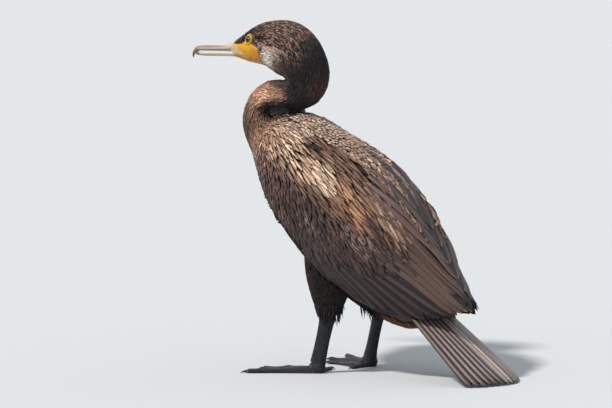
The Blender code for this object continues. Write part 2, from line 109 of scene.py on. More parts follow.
# The bird's outer form: every solid of the frame grown into one even shell. It isn't shown. The feathers
# are laid on it, and the skin lies under it. Sizes from here on are millimetres from the left foot joint.
frame_shift = np.array([0, -18.8, 0])


def in_mm(points):
    return np.asarray(points) * 1000 - frame_shift


def in_frame(points):
    return (np.asarray(points) + frame_shift) * 0.001


def grown_together(name, nodes, grain, rounds, fillings=()):
    """One closed, evenly meshed and smoothed shell round several solids and fillings, in metres."""
    joined = bmesh.new()
    for filling in fillings:
        joined.from_mesh(filling)
    for node in nodes:
        part = bmesh.new()
        part.from_mesh(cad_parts[node].data)
        bmesh.ops.remove_doubles(part, verts=part.verts, dist=0.00001)
        part.normal_update()
        for vertex in part.verts:
            vertex.co += vertex.normal * 0.0003
        swollen = bpy.data.meshes.new(node + "_swollen")
        part.to_mesh(swollen)
        part.free()
        joined.from_mesh(swollen)
        bpy.data.meshes.remove(swollen)
    mesh = bpy.data.meshes.new(name)
    joined.to_mesh(mesh)
    joined.free()
    shell = placed(name, mesh)
    even = shell.modifiers.new("Even", "REMESH")
    even.mode, even.voxel_size = "VOXEL", grain
    soften = shell.modifiers.new("Soften", "SMOOTH")
    soften.factor, soften.iterations = 0.5, rounds
    graph = bpy.context.evaluated_depsgraph_get()
    found = bpy.data.meshes.new_from_object(shell.evaluated_get(graph))
    bpy.data.objects.remove(shell)
    outer = bmesh.new()
    outer.from_mesh(found)
    left, groups = set(outer.verts), []
    while left:
        group, edge = set(), [left.pop()]
        while edge:
            vertex = edge.pop()
            group.add(vertex)
            for link in vertex.link_edges:
                other = link.other_vert(vertex)
                if other in left:
                    left.discard(other)
                    edge.append(other)
        groups.append(group)
    largest = max(groups, key=len)
    bmesh.ops.delete(outer, geom=[v for v in outer.verts if v not in largest], context="VERTS")
    # The wings' upper front corners are rounded off where they meet the neck.
    for vertex in outer.verts:
        aside, along, up = abs(vertex.co.x), vertex.co.y, vertex.co.z
        near = np.interp(aside, [0.024, 0.031], [0, 1]) * np.interp(along, [-0.073, -0.062], [1, 0])
        if near > 0 and 0.315 < up < 0.34:
            vertex.co.z = up - (up - 0.315) * 0.8 * near
    return outer


def convex_filling(name, points):
    """The tight skin round some points, which fills a hollow between solids."""
    filling = bmesh.new()
    for point in in_frame(points):
        filling.verts.new(point)
    bmesh.ops.convex_hull(filling, input=filling.verts)
    loose = [v for v in filling.verts if not v.link_faces]
    bmesh.ops.delete(filling, geom=loose, context="VERTS")
    mesh = bpy.data.meshes.new(name)
    filling.to_mesh(mesh)
    filling.free()
    return mesh


# Down fills the fold under the neck's bend, the trough between the wings and the hollow behind each
# wing's front edge, where the frame has room.
turns = np.linspace(0, 2 * math.pi, 16, endpoint=False)
fold_filling = convex_filling(
    "fold_filling", [(x, -81 + 16 * math.cos(t), 324 + 7 * math.sin(t)) for x in (-15, 15) for t in turns]
)
trough_edge = [(24, 96, 240), (20, 128, 208), (16, 153, 172), (11, 176, 128), (7, 196, 103), (3, 206, 94)]
trough_points = [(side * x, y, z - 3) for x, y, z in trough_edge for side in (-1, 1)]
trough_points += [(side * x * 0.5, y - 14, z - 32) for x, y, z in trough_edge[:4] for side in (-1, 1)]
fillings = [fold_filling, convex_filling("trough_filling", trough_points)]
for side in (-1, 1):
    flank = []
    for z, front in ((156, 6), (180, -18), (205, -38), (230, -54)):
        flank += [(side * x, y, z) for x in (42, 68) for y in (front, front + 45)]
    fillings.append(convex_filling("flank_filling", flank))

SIDES = {"left": 1, "right": -1}
flesh = ["head", "throat_pouch", "neck_upper", "neck_middle", "neck_lower", "trunk", "rump", "eye_left", "eye_right"]
flesh += [kind + "_" + side for kind in ("wing", "secondaries", "thigh") for side in SIDES]
outer_form = grown_together("outer_form", flesh + ["primaries_left", "primaries_right"], 0.0025, 5, fillings)
outer_form.normal_update()
form_points = in_mm([v.co for v in outer_form.verts])
form_faces = [[v.index for v in f.verts] for f in outer_form.faces]
form_tree = BVHTree.FromPolygons([Vector(p) for p in form_points], form_faces)
outer_form.free()

# The line through the bird from the bill's root to the tail's: y and z of its middle, its half height and
# half width, and how far its top leans forwards. It tells each feather which way to lie.
spine_stations = [
    (-163, 403.5, 9.5, 9.3, 0), (-138, 408.7, 20, 14.5, 0), (-123, 412, 26, 18, 4), (-107.5, 414, 31, 21, 14),
    (-91, 413, 35, 23.5, 27), (-75.5, 407, 37, 25, 39), (-63.5, 397.8, 37, 26.5, 50), (-54.5, 387, 34, 26.5, 64),
    (-49, 376, 30, 26.5, 81), (-49.5, 365, 25, 25.5, 104), (-55.5, 356, 21.6, 23.5, 134), (-68.5, 350, 20, 21.5, 161),
    (-81, 346.5, 20.6, 20.5, 174), (-100.5, 346, 21, 20.5, 162), (-115.5, 336.5, 21, 21.5, 123),
    (-122, 318, 23, 23, 85),
    (-117.5, 302.5, 24, 26.5, 59), (-106, 291, 30, 33, 37), (-82.5, 278, 49.7, 50, 32), (-51, 254.5, 67, 61, 36),
    (-14, 227, 79, 66, 37), (27, 194.5, 85, 66, 35), (67.5, 161.5, 81, 60, 31), (102, 130.5, 67.6, 50, 28),
    (132, 103, 47, 38, 25), (151.5, 90.5, 26.6, 25, 28), (160, 89, 13.6, 15, 36),
]
spine_stations = np.array(spine_stations, float)
fine = np.linspace(0, len(spine_stations) - 1, 260)
spine = np.stack([np.interp(fine, np.arange(len(spine_stations)), column) for column in spine_stations.T], 1)
spine_middle = np.stack([np.zeros(len(spine)), spine[:, 0], spine[:, 1]], 1)
spine_lean = np.radians(spine[:, 4])
spine_up = np.stack([np.zeros(len(spine)), np.sin(spine_lean), np.cos(spine_lean)], 1)
spine_step = np.gradient(spine_middle, axis=0)
spine_along = spine_step / np.linalg.norm(spine_step, axis=1)[:, None]


def body_place(points):
    """Each point's station on the spine and its turn round it: 0 on the back, pi under the belly."""
    points = np.atleast_2d(points)
    station, turn = np.zeros(len(points), int), np.zeros(len(points))
    for start in range(0, len(points), 4000):
        off = points[start : start + 4000, None] - spine_middle[None]
        up = np.einsum("pij,ij->pi", off, spine_up) / spine[:, 2]
        side = off[:, :, 0] / spine[:, 3]
        along = np.einsum("pij,ij->pi", off, spine_along) / 7
        best = np.argmin(up**2 + side**2 + along**2, axis=1)
        row = np.arange(len(best))
        station[start : start + 4000] = best
        turn[start : start + 4000] = np.arctan2(np.abs(side[row, best]), up[row, best])
    return station, turn

# The markings, the same on skin and feathers: blackish brown over the head and neck, a pale cheek line and white
# throat, a coppery front to the neck's bend, cream and copper mantle and shoulders, dark below. The wedge in the neck's
# bend is partly painted shadow.
def linear(red, green, blue):
    """A colour read in full light, from 0 to 255, as the share of light that the surface returns."""
    return 0.5 * np.array([((c / 255 + 0.055) / 1.055) ** 2.4 for c in (red, green, blue)])


def ramp(low, high, value):
    """0 below low, 1 above high, and smooth between."""
    share = np.clip((value - low) / (high - low), 0, 1)
    return share * share * (3 - 2 * share)


# Each marking seen from the side: name, y, z, half length, half height, turn in degrees, colour, strength.
head_markings = [
    ("crown", -88, 434, 48, 16, 4, (104, 78, 70), 0.8),
    ("forehead", -140, 426, 22, 9, -28, (76, 58, 54), 0.8),
    ("nape", -32, 398, 16, 42, 8, (44, 38, 44), 0.8),
    ("cheek", -92, 416, 26, 11, 0, (92, 68, 60), 0.7),
    ("behind the eye", -111, 418, 9, 5, 10, (38, 32, 34), 0.9),
    ("cheek line", -97, 409, 25, 3.6, -3, (236, 204, 184), 0.9),
    ("lower cheek", -94, 401, 16, 6, -10, (214, 186, 168), 0.75),
    ("white throat", -103, 394, 9, 13, -22, (300, 286, 272), 1.0),
    ("throat edge", -90, 386, 12, 6, -38, (196, 172, 158), 0.8),
    ("warm throat", -78, 379, 17, 10, -40, (112, 82, 66), 0.8),
    ("front of the upper neck", -78, 368, 8, 16, 0, (98, 74, 64), 0.7),
    ("rear of the upper neck", -24, 366, 9, 22, -10, (104, 78, 64), 0.6),
]
neck_markings = [
    ("dark top of the bend", -88, 366, 30, 7, 0, (44, 42, 52), 0.95),
    ("copper bend", -101, 350, 23, 14, -22, (230, 176, 144), 1.0),
    ("copper tongue", -76, 353, 15, 7, -16, (196, 144, 114), 1.0),
    ("copper front", -124, 334, 15, 24, 15, (190, 142, 116), 0.9),
    ("front of the breast", -126, 300, 16, 34, 8, (118, 90, 76), 0.85),
    # The wedge in the bend is partly dark feathers and partly painted shadow between the bend and the mantle.
    ("wedge of painted shadow in the bend", -80, 333, 32, 9.5, 4, (26, 24, 30), 1.0),
    ("neck root", -98, 292, 20, 28, 12, (178, 138, 112), 0.9),
]
trunk_markings = [
    ("breast", -84, 248, 30, 44, 30, (92, 68, 60), 0.8),
    ("shoulder", -62, 300, 36, 20, -12, (196, 156, 130), 0.95),
    ("mantle top", -44, 310, 26, 10, -10, (222, 190, 170), 0.9),
    ("belly", 30, 110, 100, 50, -30, (48, 37, 33), 0.9),
    ("vent", 112, 66, 46, 16, -8, (134, 96, 64), 0.85),
]


def marked(points, base, markings):
    """The colour of each point: base with the markings laid over it in order."""
    points = np.atleast_2d(points)
    colour = np.tile(linear(*base), (len(points), 1))
    for _, y, z, half_length, half_height, turn, shade, strength in markings:
        swing = math.radians(turn)
        off_y, off_z = points[:, 1] - y, points[:, 2] - z
        along = (off_y * math.cos(swing) + off_z * math.sin(swing)) / half_length
        across = (off_z * math.cos(swing) - off_y * math.sin(swing)) / half_height
        share = strength * (1 - ramp(0.55, 1.35, np.hypot(along, across)))
        colour += (linear(*shade) - colour) * share[:, None]
    return colour


def plumage_colour(points):
    """The coat's colour at each point, before each feather's own tint."""
    return marked(points, (48, 39, 40), trunk_markings + neck_markings + head_markings)


eye_y, eye_z = -129.5, 418.0


def bare_face(points):
    """1 on the bare yellow skin of the face and throat pouch, 0 on feathers."""
    y, z = points[:, 1], points[:, 2]
    top = np.interp(y, [-165, -152, -143, -136, -126, -118, -110], [411.5, 411.0, 412.0, 415.5, 413.5, 409.5, 406])
    face = ramp(-0.8, 0.8, top - z) * ramp(-0.8, 0.8, -111.5 - y) * ramp(378, 382, z)
    ring = ramp(-0.1, 0.1, 1 - np.hypot((y - eye_y) / 6.4, (z - eye_z) / 7.6))
    return np.maximum(face, ring)


def coat_depth(points):
    """How far the skin lies under the coat's outer form: nothing where it is bare."""
    z, y = points[:, 2], points[:, 1]
    depth = np.interp(z, [78, 100, 260, 330, 380, 430], [2.4, 3.0, 3.0, 2.4, 1.6, 1.1])
    bare_leg = (z < 76) & (y < 62)
    return depth * (1 - bare_face(points)) * np.where(bare_leg, 0, 1)


# The skin: one piece under all the feathers, bare on the face, throat pouch, shanks and webbed feet. The
# body is grown from the frame's solids and drawn in by the coat's depth; the legs are grown finer.
skin_form = grown_together("skin_form", flesh, 0.0024, 8, fillings)
face_edges = []
for edge in skin_form.edges:
    middle = in_mm([(edge.verts[0].co + edge.verts[1].co) / 2])[0]
    if middle[1] < -98 and middle[2] > 382:
        face_edges.append(edge)
bmesh.ops.subdivide_edges(skin_form, edges=face_edges, cuts=1, use_grid_fill=True)
for _ in range(3):
    bmesh.ops.smooth_vert(
        skin_form, verts=[v for v in skin_form.verts if in_mm([v.co])[0][1] < -98 and v.co.z > 0.38],
        factor=0.5, use_axis_x=True, use_axis_y=True, use_axis_z=True
    )
skin_form.normal_update()
skin_at = in_mm([v.co for v in skin_form.verts])
skin_out = np.array([v.normal for v in skin_form.verts])
drawn_in = coat_depth(skin_at)
# Folds of the throat pouch run from the bill's root to the throat.
bare = bare_face(skin_at)
folds = np.sin(skin_at[:, 2] * 2.1 + skin_at[:, 1] * 0.35) * 0.22
folds = folds * ramp(-112, -120, skin_at[:, 1]) * ramp(404, 400, skin_at[:, 2])
skin_at = skin_at - skin_out * (drawn_in - folds * bare)[:, None]
for vertex, place in zip(skin_form.verts, in_frame(skin_at)):
    vertex.co = place
limb_mesh = bpy.data.meshes.new("limbs")
for side in SIDES:
    limbs = grown_together("limbs", ["shank_" + side, "foot_" + side], 0.0011, 3)
    limbs.to_mesh(limb_mesh)
    skin_form.from_mesh(limb_mesh)
    limbs.free()
skin_mesh = bpy.data.meshes.new("skin")
skin_form.to_mesh(skin_mesh)
skin_form.free()
skin_mesh.shade_smooth()
skin = placed("skin", skin_mesh)


def put_colours(mesh, name, colours):
    """Stores one colour for each point of a mesh."""
    layer = mesh.attributes.new(name, "FLOAT_COLOR", "POINT")
    layer.data.foreach_set("color", np.concatenate([colours, np.ones((len(colours), 1))], 1).ravel())


skin_at = in_mm([v.co for v in skin_mesh.vertices])
yellow = marked(skin_at, (242, 170, 0), [
    ("pouch rear", -118, 396, 12, 12, 0, (236, 152, 0), 0.9),
    ("lores", -134, 407, 14, 4, -10, (244, 184, 10), 0.9),
    ("pouch front", -151, 400.5, 13, 2.8, -6, (236, 216, 168), 0.9),
    ("jaw root", -158, 404, 10, 6, 0, (226, 208, 160), 0.9),
])
bare = bare_face(skin_at)
tone = plumage_colour(skin_at) * 0.55
tone += (yellow - tone) * bare[:, None]
leg = (skin_at[:, 2] < 80) & (skin_at[:, 1] < 75)
leg_tone = marked(skin_at, (20, 22, 32), [("web", -40, 4, 70, 5, 0, (42, 38, 42), 0.8)])
tone[leg] = leg_tone[leg]
put_colours(skin_mesh, "tone", tone)
leg_layer = skin_mesh.attributes.new("leg", "FLOAT", "POINT")
leg_layer.data.foreach_set("value", ramp(84, 78, skin_at[:, 2]) * (skin_at[:, 1] < 75))
bare_layer = skin_mesh.attributes.new("bare", "FLOAT", "POINT")
bare_layer.data.foreach_set("value", bare)


def painted(name, roughness, specular):
    """A new material with its shader, its nodes and its links ready to hand."""
    paint = bpy.data.materials.new(name)
    paint.use_nodes = True
    shader = paint.node_tree.nodes["Principled BSDF"]
    shader.inputs["Roughness"].default_value = roughness
    shader.inputs["Specular IOR Level"].default_value = specular
    return paint, shader, paint.node_tree.nodes, paint.node_tree.links


def node(nodes, kind, **settings):
    """A node of that kind with these settings; a name starting with an underscore is an input's value."""
    made = nodes.new(kind)
    for key, value in settings.items():
        if key.startswith("_"):
            made.inputs[key[1:].replace("_", " ")].default_value = value
        else:
            setattr(made, key, value)
    return made


skin_paint, shader, nodes, links = painted("skin_bare_and_feathered", 0.42, 0.3)
tone_read = node(nodes, "ShaderNodeAttribute", attribute_name="tone")
leg_read = node(nodes, "ShaderNodeAttribute", attribute_name="leg")
place_read = node(nodes, "ShaderNodeTexCoord")
grains = node(nodes, "ShaderNodeTexVoronoi", _Scale=900.0)
scutes = node(nodes, "ShaderNodeTexVoronoi", feature="DISTANCE_TO_EDGE", _Scale=420.0)
blotches = node(nodes, "ShaderNodeTexNoise", _Scale=160.0, _Detail=4.0)
for texture in (grains, scutes, blotches):
    links.new(place_read.outputs["Object"], texture.inputs["Vector"])
scute_line = node(nodes, "ShaderNodeMapRange")
scute_line.inputs["From Max"].default_value = 0.12
links.new(scutes.outputs["Distance"], scute_line.inputs["Value"])
grain_height = node(nodes, "ShaderNodeMix", data_type="FLOAT")
links.new(leg_read.outputs["Fac"], grain_height.inputs[0])
links.new(grains.outputs["Distance"], grain_height.inputs[2])
links.new(scute_line.outputs["Result"], grain_height.inputs[3])
mottle = node(nodes, "ShaderNodeMapRange")
mottle.inputs["From Min"].default_value, mottle.inputs["From Max"].default_value = 0.3, 0.7
mottle.inputs["To Min"].default_value, mottle.inputs["To Max"].default_value = 0.78, 1.2
links.new(blotches.outputs["Fac"], mottle.inputs["Value"])
toned = node(nodes, "ShaderNodeVectorMath", operation="SCALE")
links.new(tone_read.outputs["Color"], toned.inputs[0])
links.new(mottle.outputs["Result"], toned.inputs["Scale"])
links.new(toned.outputs[0], shader.inputs["Base Color"])
relief = node(nodes, "ShaderNodeBump", _Strength=0.55, _Distance=0.0006)
links.new(grain_height.outputs[0], relief.inputs["Height"])
links.new(relief.outputs[0], shader.inputs["Normal"])
skin_mesh.materials.clear()
skin_mesh.materials.append(skin_paint)
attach(skin, "root")
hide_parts("head", "throat_pouch", "neck_upper", "neck_middle", "neck_lower", "trunk", "rump")
for side in SIDES:
    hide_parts(*[kind + "_" + side for kind in ("wing", "thigh", "shank", "foot")])

# Feathers: each is a thin closed vane swept along a guide line that lies on the outer form. A guide carries
# the vane's width, the way it faces, its colour down the middle and its colour at the edge.
def vane_tree(name):
    """Geometry nodes that sweep a flat drooping section along every guide line."""
    tree = bpy.data.node_groups.new(name, "GeometryNodeTree")
    sockets = {}
    tree.interface.new_socket("Geometry", in_out="INPUT", socket_type="NodeSocketGeometry")
    for label, kind in (
        ("Sides", "NodeSocketInt"), ("Thickness", "NodeSocketFloat"), ("Droop", "NodeSocketFloat"),
        ("Finish", "NodeSocketMaterial")
    ):
        sockets[label] = tree.interface.new_socket(label, in_out="INPUT", socket_type=kind).identifier
    tree.interface.new_socket("Geometry", in_out="OUTPUT", socket_type="NodeSocketGeometry")
    nodes, links = tree.nodes, tree.links
    given, result = nodes.new("NodeGroupInput"), nodes.new("NodeGroupOutput")
    ring = nodes.new("GeometryNodeCurvePrimitiveCircle")
    links.new(given.outputs["Sides"], ring.inputs["Resolution"])
    ring.inputs["Radius"].default_value = 1
    at = nodes.new("GeometryNodeInputPosition")
    split = nodes.new("ShaderNodeSeparateXYZ")
    links.new(at.outputs[0], split.inputs[0])
    squared = node(nodes, "ShaderNodeMath", operation="MULTIPLY")
    links.new(split.outputs["Y"], squared.inputs[0])
    links.new(split.outputs["Y"], squared.inputs[1])
    drooped = node(nodes, "ShaderNodeMath", operation="MULTIPLY")
    links.new(squared.outputs[0], drooped.inputs[0])
    links.new(given.outputs["Droop"], drooped.inputs[1])
    thick = node(nodes, "ShaderNodeMath", operation="MULTIPLY")
    links.new(split.outputs["X"], thick.inputs[0])
    links.new(given.outputs["Thickness"], thick.inputs[1])
    height = node(nodes, "ShaderNodeMath", operation="SUBTRACT")
    links.new(thick.outputs[0], height.inputs[0])
    links.new(drooped.outputs[0], height.inputs[1])
    flat = nodes.new("ShaderNodeCombineXYZ")
    links.new(split.outputs["Y"], flat.inputs["X"])
    links.new(height.outputs[0], flat.inputs["Y"])
    across = node(nodes, "GeometryNodeStoreNamedAttribute", data_type="FLOAT", domain="POINT", _Name="across")
    links.new(ring.outputs["Curve"], across.inputs["Geometry"])
    links.new(split.outputs["Y"], across.inputs["Value"])
    section = nodes.new("GeometryNodeSetPosition")
    links.new(across.outputs[0], section.inputs["Geometry"])
    links.new(flat.outputs[0], section.inputs["Position"])
    guides = nodes.new("GeometryNodeMeshToCurve")
    links.new(given.outputs["Geometry"], guides.inputs[0])
    facing = node(nodes, "GeometryNodeInputNamedAttribute", data_type="FLOAT_VECTOR", _Name="sideways")
    turned = node(nodes, "GeometryNodeSetCurveNormal", mode="FREE")
    links.new(guides.outputs[0], turned.inputs["Curve"])
    links.new(facing.outputs[0], turned.inputs["Normal"])
    width = node(nodes, "GeometryNodeInputNamedAttribute", data_type="FLOAT", _Name="half_width")
    sweep = nodes.new("GeometryNodeCurveToMesh")
    links.new(turned.outputs[0], sweep.inputs["Curve"])
    links.new(section.outputs[0], sweep.inputs["Profile Curve"])
    links.new(width.outputs[0], sweep.inputs["Scale"])
    sweep.inputs["Fill Caps"].default_value = True
    smooth = nodes.new("GeometryNodeSetShadeSmooth")
    links.new(sweep.outputs[0], smooth.inputs[0])
    real = nodes.new("GeometryNodeRealizeInstances")
    links.new(smooth.outputs[0], real.inputs[0])
    finish = nodes.new("GeometryNodeSetMaterial")
    links.new(real.outputs[0], finish.inputs["Geometry"])
    links.new(given.outputs["Finish"], finish.inputs["Material"])
    links.new(finish.outputs[0], result.inputs[0])
    return tree, sockets


feather_tree, feather_sockets = vane_tree("feather_vanes")


def on_form(points):
    """The nearest points of the outer form and its outward directions there."""
    flat = points.reshape(-1, 3)
    found, outward = np.empty_like(flat), np.empty_like(flat)
    for i, point in enumerate(flat):
        place, normal, _, _ = form_tree.find_nearest(point)
        found[i], outward[i] = place, normal
    return found.reshape(points.shape), outward.reshape(points.shape)


def lean_along(direction, outward):
    """Directions drawn flat onto the surface."""
    flat = direction - outward * (direction * outward).sum(-1, keepdims=True)
    return flat / np.maximum(np.linalg.norm(flat, axis=-1, keepdims=True), 1e-6)


def walk(roots, directions, lengths, shares):
    """Guide lines from the roots over the outer form: places, outward directions and headings."""
    place, outward = on_form(roots)
    heading = lean_along(directions, outward)
    places, outwards = [place], [outward]
    for before, share in zip(shares, shares[1:]):
        step = lengths[:, None] * (share - before)
        ahead, new_outward = on_form(place + heading * step)
        # A second pass takes out the rounding that the first leaves.
        heading = lean_along(lean_along(ahead - place, new_outward), new_outward)
        place, outward = ahead, new_outward
        places.append(place)
        outwards.append(outward)
    places, outwards = np.stack(places, 1), np.stack(outwards, 1)
    blurred = outwards.copy()
    blurred[:, 1:-1] = (outwards[:, :-2] + 2 * outwards[:, 1:-1] + outwards[:, 2:]) / 4
    return places, blurred / np.linalg.norm(blurred, axis=-1, keepdims=True)


def lies_flat(outwards):
    """Which feathers stay on one face of the form; the others would crumple round an edge."""
    return (outwards[:, :1] * outwards).sum(-1).min(1) > 0.4


def feathers(
    name, places, outwards, heights, half_widths, middle_colour, edge_colour, paint, sides, thickness, droop,
    roll=0.0, patch=0.003, patch_place=None, replaced=()
):
    """Sweeps vanes along guides and makes them one piece. Colours are for each feather or each guide point."""
    count, points = places.shape[:2]
    lines = places + outwards * heights[..., None]
    headings = np.gradient(lines, axis=1)
    headings /= np.maximum(np.linalg.norm(headings, axis=-1, keepdims=True), 1e-6)
    sideways = np.cross(outwards, headings)
    sideways /= np.maximum(np.linalg.norm(sideways, axis=-1, keepdims=True), 1e-6)
    upright = np.cross(headings, sideways)
    roll = np.broadcast_to(np.reshape(roll, (-1, 1, 1)), (count, points, 1))
    sideways = sideways * np.cos(roll) + upright * np.sin(roll)
    mesh = bpy.data.meshes.new(name + "_guides")
    starts = np.arange(count * points).reshape(count, points)
    edges = np.stack([starts[:, :-1].ravel(), starts[:, 1:].ravel()], 1)
    mesh.from_pydata(in_frame(lines.reshape(-1, 3)), edges.tolist(), [])
    layer = mesh.attributes.new("sideways", "FLOAT_VECTOR", "POINT")
    layer.data.foreach_set("vector", sideways.ravel())
    along = np.broadcast_to(np.linspace(0, 1, points), (count, points))
    numbers = {
        "half_width": half_widths * 0.001, "along": along,
        "chance": np.broadcast_to(chance_of(count)[:, None], (count, points)),
        "body_side": np.broadcast_to(np.clip(places[:, :1, 0] / 8, -1, 1), (count, points))
    }
    if patch_place is None:
        station, turn = body_place(places[:, 0])
        side = np.where(places[:, 0, 0] > 0, 1, -1)
        patch_place = np.stack([0.01 + 0.97 * station / len(spine), 0.5 + 0.485 * side * turn / math.pi], 1)
    numbers["patch_u"] = np.broadcast_to(patch_place[:, :1], (count, points))
    numbers["patch_v"] = np.broadcast_to(patch_place[:, 1:], (count, points))
    for label, value in numbers.items():
        layer = mesh.attributes.new(label, "FLOAT", "POINT")
        layer.data.foreach_set("value", np.ascontiguousarray(value, dtype=float).ravel())
    for label, colour in (("tone", middle_colour), ("rim", edge_colour)):
        if colour.ndim == 2:
            colour = np.repeat(colour[:, None], points, 1)
        put_colours(mesh, label, np.clip(colour.reshape(-1, 3), 0, 1))
    guide = placed(name + "_guides", mesh)
    change = guide.modifiers.new("Vanes", "NODES")
    change.node_group = feather_tree
    change[feather_sockets["Sides"]] = sides
    change[feather_sockets["Thickness"]] = thickness
    change[feather_sockets["Droop"]] = droop
    change[feather_sockets["Finish"]] = paint
    graph = bpy.context.evaluated_depsgraph_get()
    vanes = bpy.data.meshes.new_from_object(guide.evaluated_get(graph), preserve_all_data_layers=True, depsgraph=graph)
    bpy.data.objects.remove(guide)
    vanes.name = name
    read = {}
    for label in ("patch_u", "patch_v", "along", "across"):
        read[label] = np.empty(len(vanes.vertices))
        vanes.attributes[label].data.foreach_get("value", read[label])
    corner = np.empty(len(vanes.loops), int)
    vanes.loops.foreach_get("vertex_index", corner)
    patch_sizes = np.broadcast_to(patch, 2)
    u = read["patch_u"] + patch_sizes[0] * (read["across"] * 0.46 + 0.5)
    v = read["patch_v"] + patch_sizes[1] * (0.04 + 0.92 * read["along"])
    unwrap = vanes.uv_layers.new(name="OFBake")
    unwrap.data.foreach_set("uv", np.stack([u[corner], v[corner]], 1).ravel())
    for label in ("patch_u", "patch_v", "sideways", "half_width"):
        vanes.attributes.remove(vanes.attributes[label])
    piece = placed(name, vanes)
    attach(piece, "root")
    if replaced:
        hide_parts(*replaced)
    print("FEATHERS", name, count, "triangles", sum(len(p.vertices) - 2 for p in vanes.polygons))
    return piece


draw = np.random.default_rng(11)


def chance_of(count):
    return draw.random(count)


def feather_paint(
    name, rim_from=0.6, rim_to=0.98, tip_from=0.85, shaft=None, shaft_width=0.07, barbs=60.0, slant=14.0,
    barb_depth=0.16, roughness=0.55, specular=0.4, uneven=0.22, overlap_shade_from=None
):
    """A feather's finish: edge colour, shaft line and slanting barbs, all read from the vane itself, and where asked,
    painted shade on the side of the vane that the next feather covers.
    """
    paint, shader, nodes, links = painted(name, roughness, specular)

    def math_node(operation, first, second=None):
        made = node(nodes, "ShaderNodeMath", operation=operation)
        for socket, value in zip(made.inputs, (first, second)):
            if value is None:
                continue
            if isinstance(value, (int, float)):
                socket.default_value = value
            else:
                links.new(value, socket)
        return made.outputs[0]

    def stepped(low, high, value):
        made = node(nodes, "ShaderNodeMapRange", interpolation_type="SMOOTHSTEP")
        made.inputs["From Min"].default_value, made.inputs["From Max"].default_value = low, high
        links.new(value, made.inputs["Value"])
        return made.outputs["Result"]

    def mixed(share, first, second):
        made = node(nodes, "ShaderNodeMix", data_type="RGBA")
        links.new(share, made.inputs[0])
        links.new(first, made.inputs[6])
        if isinstance(second, tuple):
            made.inputs[7].default_value = (*second, 1)
        else:
            links.new(second, made.inputs[7])
        return made.outputs[2]

    tone = node(nodes, "ShaderNodeAttribute", attribute_name="tone").outputs["Color"]
    rim = node(nodes, "ShaderNodeAttribute", attribute_name="rim").outputs["Color"]
    along = node(nodes, "ShaderNodeAttribute", attribute_name="along").outputs["Fac"]
    across = node(nodes, "ShaderNodeAttribute", attribute_name="across").outputs["Fac"]
    chance = node(nodes, "ShaderNodeAttribute", attribute_name="chance").outputs["Fac"]
    off_shaft = math_node("ABSOLUTE", across)
    edge = math_node("MAXIMUM", stepped(rim_from, rim_to, off_shaft), stepped(tip_from, 1.0, along))
    colour = mixed(edge, tone, rim)
    if shaft is not None:
        colour = mixed(stepped(shaft_width, shaft_width * 0.4, off_shaft), colour, shaft)
    # Painted shade: the side of the vane that the next feather covers is darkened nearly to black, less so near the
    # middle of the body.
    if overlap_shade_from is not None:
        body_side = node(nodes, "ShaderNodeAttribute", attribute_name="body_side").outputs["Fac"]
        off_middle = math_node("MULTIPLY", math_node("ABSOLUTE", body_side), 0.88)
        overlap_shade = math_node("MULTIPLY", stepped(*overlap_shade_from, math_node("MULTIPLY", across, body_side)), off_middle)
        colour = mixed(overlap_shade, colour, (0.006, 0.006, 0.009))
    barb_place = math_node("SUBTRACT", math_node("MULTIPLY", along, barbs), math_node("MULTIPLY", off_shaft, slant))
    ripple = math_node("SINE", math_node("ADD", barb_place, math_node("MULTIPLY", chance, 6.28)))
    place = node(nodes, "ShaderNodeTexCoord").outputs["Object"]
    cloud = node(nodes, "ShaderNodeTexNoise", _Scale=420.0, _Detail=3.0)
    links.new(place, cloud.inputs["Vector"])
    cloudy = math_node("MULTIPLY", math_node("SUBTRACT", cloud.outputs["Fac"], 0.5), uneven * 4)
    each = math_node("MULTIPLY", math_node("SUBTRACT", chance, 0.5), uneven * 2)
    lightness = math_node(
        "ADD", math_node("ADD", 1.0, cloudy), math_node("ADD", each, math_node("MULTIPLY", ripple, barb_depth))
    )
    lit = node(nodes, "ShaderNodeVectorMath", operation="SCALE")
    links.new(colour, lit.inputs[0])
    links.new(lightness, lit.inputs["Scale"])
    links.new(lit.outputs[0], shader.inputs["Base Color"])
    relief = node(nodes, "ShaderNodeBump", _Strength=0.35, _Distance=0.0003)
    links.new(math_node("ADD", ripple, cloud.outputs["Fac"]), relief.inputs["Height"])
    links.new(relief.outputs[0], shader.inputs["Normal"])
    return paint


def scatter_tree():
    """Geometry nodes that strew evenly spaced points over the part of a surface where its cover is 1."""
    tree = bpy.data.node_groups.new("even_roots", "GeometryNodeTree")
    tree.interface.new_socket("Geometry", in_out="INPUT", socket_type="NodeSocketGeometry")
    spacing = tree.interface.new_socket("Spacing", in_out="INPUT", socket_type="NodeSocketFloat").identifier
    seed = tree.interface.new_socket("Seed", in_out="INPUT", socket_type="NodeSocketInt").identifier
    tree.interface.new_socket("Geometry", in_out="OUTPUT", socket_type="NodeSocketGeometry")
    nodes, links = tree.nodes, tree.links
    given, result = nodes.new("NodeGroupInput"), nodes.new("NodeGroupOutput")
    cover = node(nodes, "GeometryNodeInputNamedAttribute", data_type="FLOAT", _Name="cover")
    strewn = node(nodes, "GeometryNodeDistributePointsOnFaces", distribute_method="POISSON")
    strewn.inputs["Density Max"].default_value = 4000000
    links.new(given.outputs["Geometry"], strewn.inputs["Mesh"])
    links.new(given.outputs["Spacing"], strewn.inputs["Distance Min"])
    links.new(cover.outputs[0], strewn.inputs["Density Factor"])
    links.new(given.outputs["Seed"], strewn.inputs["Seed"])
    roots = nodes.new("GeometryNodePointsToVertices")
    links.new(strewn.outputs["Points"], roots.inputs["Points"])
    links.new(roots.outputs[0], result.inputs[0])
    return tree, spacing, seed


root_tree, root_spacing, root_seed = scatter_tree()


